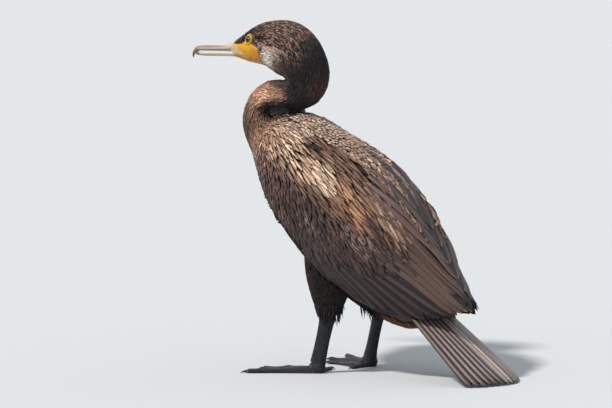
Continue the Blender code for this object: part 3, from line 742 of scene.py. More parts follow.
def strewn_roots(cover, spacing, seed):
    """Evenly spaced points on the outer form where cover, one value for each of its points, is high."""
    mesh = bpy.data.meshes.new("root_ground")
    mesh.from_pydata(in_frame(form_points), [], form_faces)
    layer = mesh.attributes.new("cover", "FLOAT", "POINT")
    layer.data.foreach_set("value", cover.astype(float))
    ground = placed("root_ground", mesh)
    change = ground.modifiers.new("Roots", "NODES")
    change.node_group = root_tree
    change[root_spacing], change[root_seed] = spacing * 0.001, seed
    graph = bpy.context.evaluated_depsgraph_get()
    found = bpy.data.meshes.new_from_object(ground.evaluated_get(graph))
    roots = in_mm([v.co for v in found.vertices])
    bpy.data.objects.remove(ground)
    bpy.data.meshes.remove(found)
    return roots


form_station, form_turn = body_place(form_points)


def wing_outline(points):
    """1 on the outer side of the folded wings, 0 elsewhere."""
    y, z, side = points[:, 1], points[:, 2], np.abs(points[:, 0])
    upper = np.interp(
        y, [-90, -86, -72, -44, 4, 54, 96, 128, 153, 176, 198, 212],
        [290, 303, 315, 320, 299, 277, 245, 214, 179, 134, 108, 95]
    )
    lower = np.interp(
        y, [-90, -82, -73, -48, -12, 24, 62, 108, 154, 187, 206, 214],
        [270, 250, 229, 192, 163, 130, 98, 77, 75, 78, 83, 90]
    )
    inner = np.interp(y, [-86, -44, 4, 54, 128, 176, 209], [38, 30, 28, 27, 21, 12, 4.5])
    return ((z < upper) & (z > lower) & (side > inner - 3)).astype(float)


def wing_rim(points):
    """1 along the thin lower and rear edges of the folded wings, where no body feathers root."""
    y, z, side = points[:, 1], points[:, 2], np.abs(points[:, 0])
    lower = np.interp(y, [60, 108, 154, 187, 206, 214], [98, 70, 67, 69, 74, 80])
    inner = np.interp(y, [60, 128, 176, 209], [26, 18, 9, 3])
    return ((y > 60) & (z > lower) & (z < 150) & (side > inner)).astype(float)


_, form_outward = on_form(form_points)
outward_side = form_outward[:, 0] * np.sign(form_points[:, 0])
wing_facing = np.interp(form_points[:, 1], [-62, -30, 30], [0.93, 0.7, 0.45])
form_wing = wing_outline(form_points) * ((outward_side > wing_facing) | (form_points[:, 1] > 60))
form_wing = np.maximum(form_wing, wing_rim(form_points))
form_bare = bare_face(form_points)


def tufts(name, roots, lengths, half_width, depth, colour, tip_colour, paint, sway=0.12, tip_rise=0.0, extra_turn=None):
    """Small pointed feathers that lie back along the body from their roots."""
    station, _ = body_place(roots)
    headings = spine_along[station] + draw.normal(0, sway, roots.shape)
    if extra_turn is not None:
        headings = headings + extra_turn
    shares = (0, 0.38, 0.72, 1.0)
    places, outwards = walk(roots, headings, lengths, shares)
    flat = lies_flat(outwards)
    roots, places, outwards, half_width, depth = (
        roots[flat], places[flat], outwards[flat], half_width[flat], depth[flat]
    )
    colour, tip_colour = colour[flat], tip_colour[flat]
    climb = np.array([-1.0, -0.42, -0.14, 0.0])
    heights = depth[:, None] * climb + tip_rise * np.array([0, 0.1, 0.5, 1.0]) + draw.normal(0, 0.12, (len(roots), 1))
    widths = half_width[:, None] * np.array([0.75, 1.0, 0.8, 0.08])
    # Painted shade: each tuft is darker towards its root, where the tufts above cover it; its tip is a little lighter.
    mid = colour[:, None] * np.array([0.5, 0.85, 1.05, 1.1])[None, :, None]
    rim = np.repeat(tip_colour[:, None], 4, 1) * np.array([0.6, 0.9, 1.0, 1.05])[None, :, None]
    return feathers(name, places, outwards, heights, widths, mid, rim, paint, 3, 0.3, 0.1)


# The head: hair-fine short feathers, dark with pale brown tips, longest on the nape.
fine_paint = feather_paint(
    "hair_fine_feathers", rim_from=0.5, tip_from=0.55, barbs=20, slant=3, barb_depth=0.08, roughness=0.55,
    specular=0.22
)
head_cover = (form_station < 88) & (form_bare < 0.3) & (form_wing < 0.5) & (form_points[:, 1] > -161)
roots = strewn_roots(head_cover, 1.4, 3)
roots = roots[bare_face(roots) < 0.35]
roots = roots[np.hypot((roots[:, 1] - eye_y + 2.5) / 9.5, (roots[:, 2] - eye_z) / 8.2) > 1]
face_share = ramp(-150, -90, roots[:, 1])
colour = plumage_colour(roots + draw.normal(0, 2.2, roots.shape))
streaked = (
    ramp(0.55, 0.85, draw.random(len(roots))) * ramp(-30, -62, roots[:, 1])
    * ramp(384, 404, roots[:, 2]) * ramp(0.3, 0.1, colour.mean(1))
)
streaked = streaked[:, None]
colour = (colour * 0.8 + linear(176, 136, 116) * 0.75 * streaked) * np.exp(draw.normal(0, 0.25, (len(roots), 1)))
pale_tip = np.minimum(colour * 1.25 + linear(196, 150, 128) * 0.5 * streaked, 0.6)
tufts(
    "head_feathers", roots, 3.2 + 4.2 * face_share + draw.random(len(roots)), 0.55 + 0.35 * face_share,
    0.9 + 0.4 * face_share, colour, pale_tip, fine_paint
)

# The neck: close short feathers, black over the back of the bend and coppery at its front.
neck_cover = (form_station >= 84) & (form_station < 176) & (form_wing < 0.5) & (form_points[:, 2] > 262)
roots = strewn_roots(neck_cover, 1.75, 5)
colour = plumage_colour(roots + draw.normal(0, 2.4, roots.shape)) * np.exp(draw.normal(0, 0.34, (len(roots), 1)))
on_shoulder = (np.abs(roots[:, 0]) > 25) & (roots[:, 2] > 292)
shoulder_lie = on_shoulder[:, None] * np.array([0, 3.0, -3.0])
tufts(
    "neck_feathers", roots, 6.5 + 2.5 * draw.random(len(roots)), np.full(len(roots), 1.0), np.full(len(roots), 1.7),
    colour, np.minimum(colour * 1.9 + 0.02, 0.9), fine_paint, sway=0.09, extra_turn=shoulder_lie
)

# Breast, flanks and belly: dense dark feathers, a little longer towards the tail; the vent is golden brown.
soft_paint = feather_paint(
    "close_body_feathers", rim_from=0.45, tip_from=0.62, barbs=26, slant=4, barb_depth=0.1, roughness=0.55,
    specular=0.2
)
trunk_cover = ((form_station >= 172) | (form_points[:, 2] <= 264)) & (form_wing < 0.5) & (form_points[:, 2] > 46)
thigh_reach = (
    (np.abs(form_points[:, 0]) > 22) & (form_points[:, 1] < 75)
    & (form_points[:, 2] < 150) & (form_points[:, 2] > 74)
)
front = trunk_cover & (form_points[:, 1] < 8) & ~thigh_reach
behind = trunk_cover & (form_points[:, 1] >= 8) & ~thigh_reach & (form_turn > 0.9)
for label, cover, seed in (("breast_feathers", front, 7), ("belly_feathers", behind, 8)):
    roots = strewn_roots(cover, 2.5, seed)
    colour = plumage_colour(roots + draw.normal(0, 3.0, roots.shape)) * np.exp(draw.normal(0, 0.35, (len(roots), 1)))
    tufts(
        label, roots, 10 + 4 * draw.random(len(roots)), np.full(len(roots), 1.5), np.full(len(roots), 2.6), colour,
        np.minimum(colour * 1.9 + 0.012, 0.9), soft_paint, sway=0.12
    )

# The feathered thighs: short black-brown feathers hanging down to a ragged hem at the heel.
thigh_cover = thigh_reach & (form_wing < 0.5)
roots = strewn_roots(thigh_cover, 2.3, 9)
colour = marked(roots, (42, 33, 32), [("thigh front", -8, 120, 16, 34, 10, (66, 50, 46), 0.7)])
hanging = np.array([0, 0.12, -1.0])
hem = ramp(100, 82, roots[:, 2])
length = 9 + 4 * draw.random(len(roots)) + hem * (2 + 12 * draw.random(len(roots)) ** 2)
tufts(
    "thigh_feathers", roots, length, 1.25 + 0.2 * hem, np.full(len(roots), 2.0), colour,
    np.minimum(colour * 1.8 + 0.01, 0.9), soft_paint, sway=0.12, extra_turn=hanging * 4
)

# Longer loose feathers hang from the thigh's hem over the top of the bare shank.
hem_points = form_points[thigh_cover & (form_points[:, 2] > 76) & (form_points[:, 2] < 90)]
hem_points = hem_points[draw.permutation(len(hem_points))[:260]]
_, hem_outward = on_form(hem_points)
count = len(hem_points)
hang = np.array([0, 0.1, -1.0]) - hem_outward * 0.22 + draw.normal(0, 0.13, (count, 3))
length = (9 + 16 * draw.random(count) ** 2)[:, None, None]
shares = np.linspace(0, 1, 5)[None, :, None]
places = hem_points[:, None] + hang[:, None] * length * shares
hem_colour = marked(hem_points, (36, 30, 32), []) * np.exp(draw.normal(0, 0.3, (count, 1)))
feathers(
    "thigh_hem", places, np.repeat(hem_outward[:, None], 5, 1), np.tile([-1.0, 0.4, 0.2, 0.0, 0.0], (count, 1)),
    np.tile([1.0, 1.3, 1.1, 0.7, 0.06], (count, 1)), hem_colour, hem_colour * 1.7, soft_paint, 3, 0.3, 0.1
)

# The folded wings and the shoulders. Every feather is placed as seen from the side, then laid on the outer
# form; rows nearer the back lie over the rows below, as roof tiles do.
def on_side(places, side):
    """The places in the side view that lie on the outer form's outer side, and the points there."""
    kept, found = [], []
    for along, height in places:
        start = Vector((side * 160, along, height))
        place, normal, _, _ = form_tree.ray_cast(start, Vector((-side, 0, 0)))
        if place is not None and normal.x * side > 0.16 and place.x * side > 0:
            kept.append((along, height))
            found.append(place)
    return np.array(kept), np.array(found)


def wing_heading(y):
    """The way wing feathers point, seen from the side: down at the bend, then back and down."""
    fall = np.radians(np.interp(y, [-90, -55, -10, 40, 90, 140, 210], [84, 76, 66, 56, 49, 44, 38]))
    return np.stack([np.zeros(len(y)), np.cos(fall), -np.sin(fall)], 1)


def rows_between(upper, lower, across, down, jitter):
    """Staggered places, seen from the side, between two outlines given as lists of y and z."""
    upper, lower = np.array(upper, float), np.array(lower, float)
    y_low, y_high = min(upper[0, 0], lower[0, 0]), max(upper[-1, 0], lower[-1, 0])
    found = []
    row = 0
    z = min(upper[:, 1].min(), lower[:, 1].min())
    while z < upper[:, 1].max() + down:
        y = np.arange(y_low, y_high, across) + (row % 2) * across / 2
        line = np.stack([y, np.full(len(y), z)], 1)
        keep = (z < np.interp(y, *upper.T)) & (z > np.interp(y, *lower.T))
        found.append(line[keep])
        row += 1
        z += down
    found = np.concatenate(found)
    return found + draw.normal(0, jitter, found.shape)


SMALL_SHARES = np.array([0, 0.3, 0.55, 0.75, 0.88, 0.96, 1.0])
ROUND_VANE = np.array([0.55, 0.85, 1.0, 0.97, 0.78, 0.45, 0.06])
POINTED_VANE = np.array([0.6, 0.95, 1.0, 0.85, 0.6, 0.33, 0.05])
small_paint = feather_paint(
    "covert_feathers", rim_from=0.2, rim_to=0.8, tip_from=0.75, shaft=(0.03, 0.02, 0.02), shaft_width=0.1,
    barbs=110, slant=24, barb_depth=0.12, roughness=0.45, specular=0.3, overlap_shade_from=(0.1, 0.8)
)


def small_feathers(name, roots, headings, lengths, half_width, shape, colour, edge, paint, lift, depth, roll=0.12):
    """Short feathers walked over the outer form from their roots, their bases sunk by depth."""
    places, outwards = walk(roots, headings, lengths, SMALL_SHARES)
    flat = lies_flat(outwards)
    roots, places, outwards, colour, edge = roots[flat], places[flat], outwards[flat], colour[flat], edge[flat]
    half_width = half_width[flat]
    climb = np.array([-1.0, -0.62, -0.34, -0.16, -0.06, -0.01, 0.0])
    heights = depth * climb + lift + draw.normal(0, 0.22, (len(roots), 1))
    widths = np.reshape(half_width, (-1, 1)) * shape
    # Painted shade: each feather is darker towards its root, where the row above lies over it.
    shade = np.array([0.6, 0.8, 0.95, 1.0, 1.0, 1.0, 1.0])[None, :, None]
    return feathers(
        name, places, outwards, heights, widths, colour[:, None] * shade, edge[:, None] * shade, paint, 4, 0.1,
        0.16, roll
    )


def tinted(points, base, markings, spread):
    """Marking colours with each feather a little lighter or darker than the next."""
    colour = marked(points, base, markings)
    return colour * np.exp(draw.normal(0, spread, (len(points), 1)))


lesser_middle = [
    ("leading edge", -62, 262, 20, 44, 22, (96, 72, 68), 0.8),
    ("fringed patch", 72, 196, 32, 14, -30, (110, 82, 76), 0.8),
    ("above the secondaries", 60, 152, 70, 14, -8, (70, 58, 58), 0.8),
]
lesser_edge = [
    ("leading edge", -62, 255, 26, 60, 22, (206, 152, 132), 0.85),
    ("fringed patch", 72, 196, 32, 15, -30, (255, 214, 200), 0.95),
    ("stray pale", 6, 205, 5, 16, 10, (255, 216, 196), 0.95),
    ("above the secondaries", 60, 154, 80, 18, -8, (128, 102, 94), 0.8),
]

tertial_tone, secondary_tone, primary_tone = (98, 78, 72), (84, 70, 68), (46, 40, 42)
flight_paint = feather_paint(
    "flight_feathers", rim_from=0.78, rim_to=0.97, tip_from=0.96, shaft=(0.012, 0.009, 0.009), shaft_width=0.07,
    barbs=640, slant=48, barb_depth=0.1, roughness=0.42, specular=0.25, uneven=0.14, overlap_shade_from=(-0.62, -0.36)
)
tertial_paint = feather_paint(
    "tertial_feathers", rim_from=0.74, rim_to=0.97, tip_from=0.94, shaft=(0.012, 0.009, 0.009), shaft_width=0.07,
    barbs=640, slant=48, barb_depth=0.12, roughness=0.42, specular=0.3, uneven=0.16, overlap_shade_from=(-0.25, 0.1)
)
FLIGHT_SHARES = np.linspace(0, 1, 17)
FLIGHT_VANE = np.interp(FLIGHT_SHARES, [0, 0.2, 0.6, 0.82, 0.93, 0.98, 1.0], [0.55, 0.85, 1.0, 0.95, 0.7, 0.38, 0.08])


def evened(values, good):
    """Values along a feather, filled in where the form isn't seen and then smoothed."""
    reach = np.arange(len(values))
    values = np.stack([np.interp(reach, reach[good], column[good]) for column in values.T], 1)
    for _ in range(8):
        padded = np.concatenate([2 * values[:1] - values[1:2], values, 2 * values[-1:] - values[-2:-1]])
        values = (padded[:-2] + 2 * padded[1:-1] + padded[2:]) / 4
    return values


def flight_row(name, tips, roots, seen_from, half_width, heights, colour, edge, roll, paint, bow=3.0, replaced=()):
    """Long stiff feathers laid on the outer form as seen from one side: each from its root to its tip."""
    tips, roots = np.asarray(tips, float), np.asarray(roots, float)
    seen_from = np.array(seen_from, float) / np.linalg.norm(seen_from)
    count, points = len(tips), len(FLIGHT_SHARES)
    places, outwards = np.zeros((count, points, 3)), np.zeros((count, points, 3))
    for i in range(count):
        run = tips[i] - roots[i]
        aside = np.cross(run / np.linalg.norm(run), seen_from)
        aside *= np.sign(aside[2]) * bow
        line = roots[i] + run * FLIGHT_SHARES[:, None] + aside * np.sin(FLIGHT_SHARES * math.pi)[:, None]
        found, good = np.zeros((points, 4)), np.zeros(points, bool)
        for k, point in enumerate(line):
            place, normal, _, gone = form_tree.ray_cast(Vector(point + seen_from * 150), Vector(-seen_from))
            good[k] = place is not None and gone < 230 and normal.dot(Vector(seen_from)) > 0.3
            if good[k]:
                found[k] = 150 - gone, *normal
        if good.sum() < 4:
            found[:], good[:] = (0, *seen_from), True
        found = evened(found, good)
        places[i] = line + seen_from * found[:, :1]
        outwards[i] = found[:, 1:]
    outwards /= np.linalg.norm(outwards, axis=-1, keepdims=True)
    heights = np.reshape(heights, (-1, 1)) + np.interp(FLIGHT_SHARES, [0, 1], [-1.4, 0.0])
    widths = np.reshape(half_width, (-1, 1)) * FLIGHT_VANE
    tone = np.repeat(colour[:, None], points, 1)
    rim = np.repeat(edge[:, None], points, 1)
    cells = np.stack([0.01 + 0.98 * np.arange(count) / count, np.full(count, 0.01)], 1)
    return feathers(
        name, places, outwards, heights, widths, tone, rim, paint, 8, 0.06, 0.14, roll, patch=(0.9 / count, 0.97),
        patch_place=cells, replaced=replaced
    )


def side_ends(tips, falls, lengths):
    """Tips and roots of feathers given in the side view by their tips, how steeply they fall and how long they are."""
    tips, falls = np.asarray(tips, float), np.radians(np.asarray(falls, float))
    back = np.stack([-np.cos(falls), np.sin(falls)], 1) * np.reshape(lengths, (-1, 1))
    none = np.zeros((len(tips), 1))
    return np.hstack([none, tips]), np.hstack([none, tips + back])


for side_name, side in SIDES.items():
    # Primaries: dark round-tipped feathers below the secondaries, reaching to the root of the tail.
    count = 7
    share = np.linspace(0, 1, count)
    tips = np.stack([138 + 58 * share, 78.5 + 4 * share], 1)
    tone = np.tile(linear(*primary_tone), (count, 1)) * np.exp(draw.normal(0, 0.1, (count, 1)))
    edge = np.tile(linear(84, 66, 60), (count, 1))
    flight_row(
        "primaries_feathered_" + side_name, *side_ends(tips, np.linspace(14, 24, count), np.full(count, 92)),
        (side, 0, 0), np.full(count, 6.5), -1.8 + 0.1 * np.arange(count), tone, edge, -side * 0.1, flight_paint,
        replaced=("primaries_" + side_name,)
    )

    # Secondaries: a long run of parallel charcoal feathers, close at the front and wide at the rear.
    edge_y = [-44, -12, 24, 62, 92, 120, 150, 178, 196, 207]
    edge_z = [190, 161, 129, 97, 82, 77, 77, 80, 84, 90]
    tip_y = np.array([-40, -32, -24, -16, -8, 0, 8, 16, 25, 34, 43, 53, 63, 74, 86, 99, 113, 128, 144, 160, 176, 190])
    tips = np.stack([tip_y, np.interp(tip_y, edge_y, edge_z) + 1.5], 1)
    count = len(tips)
    step = np.arange(count)
    falls = np.interp(tip_y, [-40, 20, 80, 140, 190], [56, 50, 46, 42, 36])
    lengths = np.interp(tip_y, [-40, 0, 40, 190], [40, 62, 92, 118])
    widths = np.interp(tip_y, [-40, 40, 110, 190], [5.4, 6.2, 8.0, 9.4])
    tone = np.tile(linear(*secondary_tone), (count, 1)) * np.exp(draw.normal(0, 0.08, (count, 1)))
    brown = np.linspace(0, 1, count)[:, None]
    edge = brown * linear(150, 108, 90) + (1 - brown) * linear(112, 98, 96)
    flight_row(
        "secondaries_feathered_" + side_name, *side_ends(tips, falls, lengths), (side, 0, 0), widths,
        -1.2 + 0.04 * step, tone, edge, -side * 0.2, flight_paint, replaced=("secondaries_" + side_name,)
    )

    # Tertials: the broad inner feathers that close the wing over the back, their tips at the wing's point.
    tips = [
        (21, 196, 86), (16, 201, 87), (10, 203, 86), (4, 210, 92), (6, 208, 107), (7, 199, 119), (6, 188, 134),
        (6, 175, 152), (6, 160, 170), (6, 142, 190)
    ]
    roots = [
        (65, 101, 157), (59, 106, 162), (46, 104, 160), (44, 100, 172), (41, 94, 186), (38, 84, 200), (34, 74, 216),
        (30, 66, 230), (25, 58, 242), (19, 50, 252)
    ]
    tips, roots = np.array(tips, float), np.array(roots, float)
    tips[:, 0] *= side
    roots[:, 0] *= side
    count = len(tips)
    tone = np.tile(linear(*tertial_tone), (count, 1)) * np.exp(draw.normal(0, 0.1, (count, 1)))
    edge = np.tile(linear(172, 124, 102), (count, 1))
    flight_row(
        "tertials_feathered_" + side_name, tips, roots, (side * 0.45, 0.62, 0.64),
        [9, 9, 9, 9.5, 10, 10, 10, 9.5, 9, 8], np.linspace(0.4, 2.8, count), tone, edge, -side * 0.16, tertial_paint
    )

    # Greater and median coverts: rows of grey-brown feathers whose pale tips lie over the secondaries.
    places = rows_between(
        [(-66, 206), (0, 182), (60, 172), (120, 168), (168, 140)],
        [(-66, 190), (-20, 162), (8, 150), (88, 136), (144, 138), (168, 128)], 5.6, 7.5, 2.6
    )
    places[:, 1] += 18
    places, roots = on_side(places, side)
    fall = np.radians(np.interp(places[:, 0], [-66, -10, 60, 140], [70, 62, 54, 48]))
    heading = np.stack([np.zeros(len(fall)), np.cos(fall), -np.sin(fall)], 1)
    colour = tinted(roots, (78, 62, 60), lesser_middle, 0.2)
    edge = tinted(roots, (140, 108, 98), lesser_edge, 0.3)
    small_feathers(
        "greater_coverts_" + side_name, roots, heading, 26 + 12 * draw.random(len(roots)),
        2.7 + 1.3 * draw.random(len(roots)), POINTED_VANE, colour, edge, small_paint, lift=0.2, depth=2.4,
        roll=-side * 0.16
    )

    # Lesser coverts: small dark feathers with pink-copper edges, thick over the bend of the wing.
    upper = [(-90, 300), (-72, 298), (-44, 276), (-10, 246), (30, 224), (70, 212), (110, 196), (150, 170)]
    lower = [(-90, 266), (-72, 236), (-44, 204), (-12, 182), (30, 172), (90, 162), (150, 156)]
    places = rows_between(upper, lower, 4.6, 5.4, 1.4)
    places, roots = on_side(places, side)
    heading = wing_heading(places[:, 0])
    colour = tinted(roots, (56, 42, 43), lesser_middle, 0.25)
    edge = tinted(roots, (178, 134, 118), lesser_edge, 0.5)
    small_feathers(
        "lesser_coverts_" + side_name, roots, heading, 13 + 6 * draw.random(len(roots)),
        1.8 + 0.8 * draw.random(len(roots)), POINTED_VANE, colour, edge, small_paint, lift=0.5, depth=2.4,
        roll=-side * 0.12
    )

# Scapulars and mantle: long pointed feathers with cream centres and copper edges lie over the top of each
# wing, and small scaly ones with dark margins over the middle of the back.
mantle_middle = [
    ("shoulder cream", -60, 296, 34, 20, -20, (226, 180, 146), 0.9),
    ("mantle top", -46, 316, 24, 10, -8, (232, 202, 182), 0.9),
    # The bright shoulder is pale feathers lightened further by a painted highlight where the light falls on the top of
    # the shoulder.
    ("pale shoulder with painted highlight", 8, 264, 26, 13, -38, (255, 226, 196), 1.0),
    ("cream run", -30, 282, 38, 15, -34, (248, 206, 170), 0.95),
    ("copper run", 50, 238, 40, 12, -42, (208, 152, 112), 0.9),
    # Painted shade: the hollow between the rear scapulars and the tertials is darkened.
    ("painted shade in the hollow", 78, 216, 26, 7, -45, (38, 32, 40), 0.95),
    ("rear scapulars", 92, 226, 40, 12, -45, (186, 150, 128), 0.8),
]
mantle_edge = [
    ("shoulder copper", -50, 292, 60, 26, -25, (172, 122, 92), 0.9),
    # The same painted highlight lightens the edges on the shoulder.
    ("pale shoulder with painted highlight", 8, 262, 26, 12, -38, (226, 176, 136), 0.9),
    ("copper run", 50, 238, 44, 14, -42, (150, 98, 72), 0.9),
    ("rear scapulars", 92, 226, 44, 16, -45, (120, 88, 74), 0.8),
]
scapular_paint = feather_paint(
    "scapular_feathers", rim_from=0.3, rim_to=0.95, tip_from=0.86, shaft=(0.10, 0.05, 0.03), shaft_width=0.12,
    barbs=160, slant=26, barb_depth=0.12, roughness=0.42, specular=0.35, uneven=0.24, overlap_shade_from=(0.1, 0.8)
)
for side_name, side in SIDES.items():
    upper = [(-84, 302), (-72, 312), (-44, 316), (4, 303), (54, 280), (96, 248), (118, 224)]
    lower = [(-84, 286), (-60, 272), (-20, 246), (20, 226), (60, 210), (96, 198), (118, 196)]
    places = rows_between(upper, lower, 5.6, 5.6, 2.4)
    places, roots = on_side(places, side)
    fall = np.radians(
        np.interp(places[:, 0], [-84, -50, 0, 50, 110], [62, 50, 44, 46, 50]) + draw.normal(0, 5, len(places))
    )
    heading = np.stack([np.zeros(len(fall)), np.cos(fall), -np.sin(fall)], 1)
    length = np.interp(places[:, 0], [-84, -40, 10, 60, 118], [14, 20, 30, 42, 48])
    length = length * (0.85 + 0.35 * draw.random(len(roots)))
    width = np.interp(places[:, 0], [-84, -40, 10, 118], [2.0, 2.5, 3.1, 4.0]) * (0.8 + 0.3 * draw.random(len(roots)))
    colour = tinted(roots, (128, 92, 74), mantle_middle, 0.34)
    edge = tinted(roots, (104, 74, 62), mantle_edge, 0.38)
    small_feathers(
        "scapulars_" + side_name, roots, heading, length, width, POINTED_VANE, colour, edge, scapular_paint,
        lift=1.0, depth=2.4, roll=-side * 0.14
    )

scaly_paint = feather_paint(
    "scaly_feathers", rim_from=0.5, rim_to=0.85, tip_from=0.7, shaft=(0.03, 0.02, 0.02), shaft_width=0.1, barbs=30,
    slant=10, barb_depth=0.1, roughness=0.45, specular=0.3
)
under_scapulars = wing_outline(form_points) * (outward_side > np.interp(form_points[:, 1], [-72, -58], [0.93, 0.0]))
back_cover = (form_station >= 172) & (form_turn < 1.3) & (
    (np.maximum(under_scapulars, wing_rim(form_points)) < 0.5) | (np.abs(form_points[:, 0]) < 33)
)
back_cover &= (form_points[:, 1] < 168) & (form_points[:, 1] > -60) & (form_outward[:, 2] > -0.1)
roots = strewn_roots(back_cover, 4.4, 21)
station, _ = body_place(roots)
rear = ramp(20, 110, roots[:, 1])
back_middle = [
    ("scaly cream", -14, 306, 46, 20, -24, (236, 200, 172), 0.9),
    ("mantle top", -58, 322, 22, 14, 0, (226, 190, 168), 0.9),
    ("rump", 120, 190, 60, 50, -50, (62, 54, 58), 0.9),
]
colour = tinted(roots, (86, 68, 64), back_middle, 0.2)
beside = (ramp(3, 9, np.abs(roots[:, 0])) * ramp(-10, 20, roots[:, 1]) * ramp(150, 110, roots[:, 1]))[:, None]
colour += (linear(214, 172, 148) * np.exp(draw.normal(0, 0.3, (len(roots), 1))) - colour) * 0.8 * beside
edge = tinted(
    roots, (38, 32, 38),
    [("rump", 120, 190, 60, 50, -50, (112, 86, 78), 0.8), ("mantle top", -60, 322, 18, 12, 0, (150, 108, 84), 0.9)],
    0.16
)
small_feathers(
    "back_feathers", roots, spine_along[station], 12 + 26 * rear, 2.7 + 1.9 * rear, ROUND_VANE, colour, edge,
    scaly_paint, lift=0.8, depth=2.2
)

# The tail: fourteen stiff feathers in a shallow arch, the middle ones on top, their worn tips on the floor.
tail_root, tail_slope, tail_length = np.array([0, 130, 98.8]), math.radians(36), 167.0
tail_count = 14
tail_place = np.arange(tail_count) - (tail_count - 1) / 2
tail_down = np.array([0, math.cos(tail_slope), -math.sin(tail_slope)])
tail_above = np.array([0, math.sin(tail_slope), math.cos(tail_slope)])
lean, fan = np.radians(tail_place * 3.3)[:, None], np.radians(tail_place * 1.15)[:, None]
above = tail_above * np.cos(lean) + np.array([1.0, 0, 0]) * np.sin(lean)
level = np.array([1.0, 0, 0]) * np.cos(lean) - tail_above * np.sin(lean)
along = tail_down * np.cos(fan) + level * np.sin(fan)
tail_shares = np.linspace(0, 1, 18)
lengths = tail_length - 0.42 * tail_place**2 - 6 * draw.random(tail_count)
start = tail_root + (above - tail_above) * 95
lines = start[:, None] + along[:, None] * (lengths[:, None] * tail_shares)[..., None]
outwards = np.repeat(above[:, None], len(tail_shares), 1)
stack = 1.5 - 0.16 * np.abs(tail_place)
heights = stack[:, None] + np.interp(tail_shares, [0, 0.5, 1], [0.4, 0.0, -0.7])
tail_vane = np.interp(tail_shares, [0, 0.3, 0.8, 0.94, 1.0], [5.6, 7.2, 8.4, 7.4, 1.6])
tail_tone = np.tile(linear(186, 160, 152), (tail_count, 1)) * np.exp(draw.normal(0, 0.1, (tail_count, 1)))
# Painted shade: each tail feather is darker at its root, under the coverts; it is also darker towards its tip.
shade = np.interp(tail_shares, [0, 0.25, 0.8, 1.0], [0.6, 0.95, 1.05, 0.7])[None, :, None]
tail_paint = feather_paint(
    "tail_feathers", rim_from=0.55, rim_to=0.95, tip_from=0.97, shaft=(0.66, 0.58, 0.52), shaft_width=0.16,
    barbs=900, slant=44, barb_depth=0.14, roughness=0.42, specular=0.3, uneven=0.2, overlap_shade_from=(-0.42, -0.22)
)
tail_cells = np.stack([0.01 + 0.98 * np.arange(tail_count) / tail_count, np.full(tail_count, 0.01)], 1)
# The dark edges of the tail feathers are partly painted shade for the gaps between them.
tail_edge_and_gap_shade = np.tile(linear(46, 40, 44), (tail_count, 1))
feathers(
    "tail_feathered", lines, outwards, heights, np.tile(tail_vane, (tail_count, 1)), tail_tone[:, None] * shade,
    tail_edge_and_gap_shade[:, None] * shade, tail_paint, 8, 0.07, 0.12, -0.13 * np.sign(tail_place),
    patch=(0.9 / tail_count, 0.97), patch_place=tail_cells, replaced=("tail",)
)

# The bill: two pale horn sheaths, grooved along the side, the upper one ending in a hooked brown nail.
def smooth_rows(rows, steps):
    """Rows of numbers with more rows between them on smooth curves."""
    rows = np.array(rows, float)
    ends = np.concatenate([rows[:1], rows, rows[-1:]])
    found = []
    for i in range(1, len(ends) - 2):
        a, b, c, d = ends[i - 1 : i + 3]
        for t in np.arange(steps) / steps:
            found.append(
                0.5 * (2 * b + (c - a) * t + (2 * a - 5 * b + 4 * c - d) * t**2 + (3 * b - 3 * c + d - a) * t**3)
            )
    found.append(rows[-1])
    return np.array(found)


def lofted(name, points, count, tones, paint, closed=True):
    """A piece skinned over rings of count points each, its end rings filled when closed."""
    faces = []
    for row in range(len(points) // count - 1):
        for k in range(count):
            near, far = row * count + k, row * count + (k + 1) % count
            faces.append((near, far, far + count, near + count))
    if closed:
        faces += [tuple(range(count)), tuple(range(len(points) - count, len(points)))]
    mesh = bpy.data.meshes.new(name)
    mesh.from_pydata(in_frame(points), [], faces)
    shape = bmesh.new()
    shape.from_mesh(mesh)
    bmesh.ops.recalc_face_normals(shape, faces=shape.faces)
    shape.to_mesh(mesh)
    shape.free()
    mesh.shade_smooth()
    put_colours(mesh, "tone", tones)
    mesh.materials.append(paint)
    made = placed(name, mesh)
    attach(made, "root")
    return made


def horn_sheath(name, rows, round_above, markings, base, replaced):
    """One half of the bill lofted through rows of y, top z, low z and half width."""
    rows = smooth_rows(rows, 5)
    count = 32
    points = []
    for y, top, low, half_width in rows:
        for k in range(count):
            turn = 2 * math.pi * (k + 0.5) / count
            x, z = math.sin(turn), math.cos(turn)
            meets = z < 0 if round_above else z > 0
            groove = (
                math.exp(-(((abs(z) - 0.28) / 0.12) ** 2)) * (0 if meets else 0.07)
                * np.interp(y, [-219, -208, -172, -164], [0, 1, 1, 0.3])
            )
            z = math.copysign(abs(z) ** (0.5 if meets else 1.1), z)
            points.append((half_width * x * (1 - groove), y, (top + low) / 2 + (top - low) / 2 * z))
    sheath = lofted(name, points, count, marked(np.array(points), base, markings), horn_paint)
    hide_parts(replaced)


horn_paint, shader, nodes, links = painted("streaked_horn", 0.3, 0.5)
tone_read = node(nodes, "ShaderNodeAttribute", attribute_name="tone")
place_read = node(nodes, "ShaderNodeTexCoord")
drawn_out = node(nodes, "ShaderNodeMapping")
drawn_out.inputs["Scale"].default_value = (1.0, 0.16, 1.0)
links.new(place_read.outputs["Object"], drawn_out.inputs["Vector"])
streaks = node(nodes, "ShaderNodeTexNoise", _Scale=1100.0, _Detail=3.0)
links.new(drawn_out.outputs[0], streaks.inputs["Vector"])
streak_light = node(nodes, "ShaderNodeMapRange")
streak_light.inputs["From Min"].default_value, streak_light.inputs["From Max"].default_value = 0.3, 0.7
streak_light.inputs["To Min"].default_value, streak_light.inputs["To Max"].default_value = 0.8, 1.14
links.new(streaks.outputs["Fac"], streak_light.inputs["Value"])
horn_tone = node(nodes, "ShaderNodeVectorMath", operation="SCALE")
links.new(tone_read.outputs["Color"], horn_tone.inputs[0])
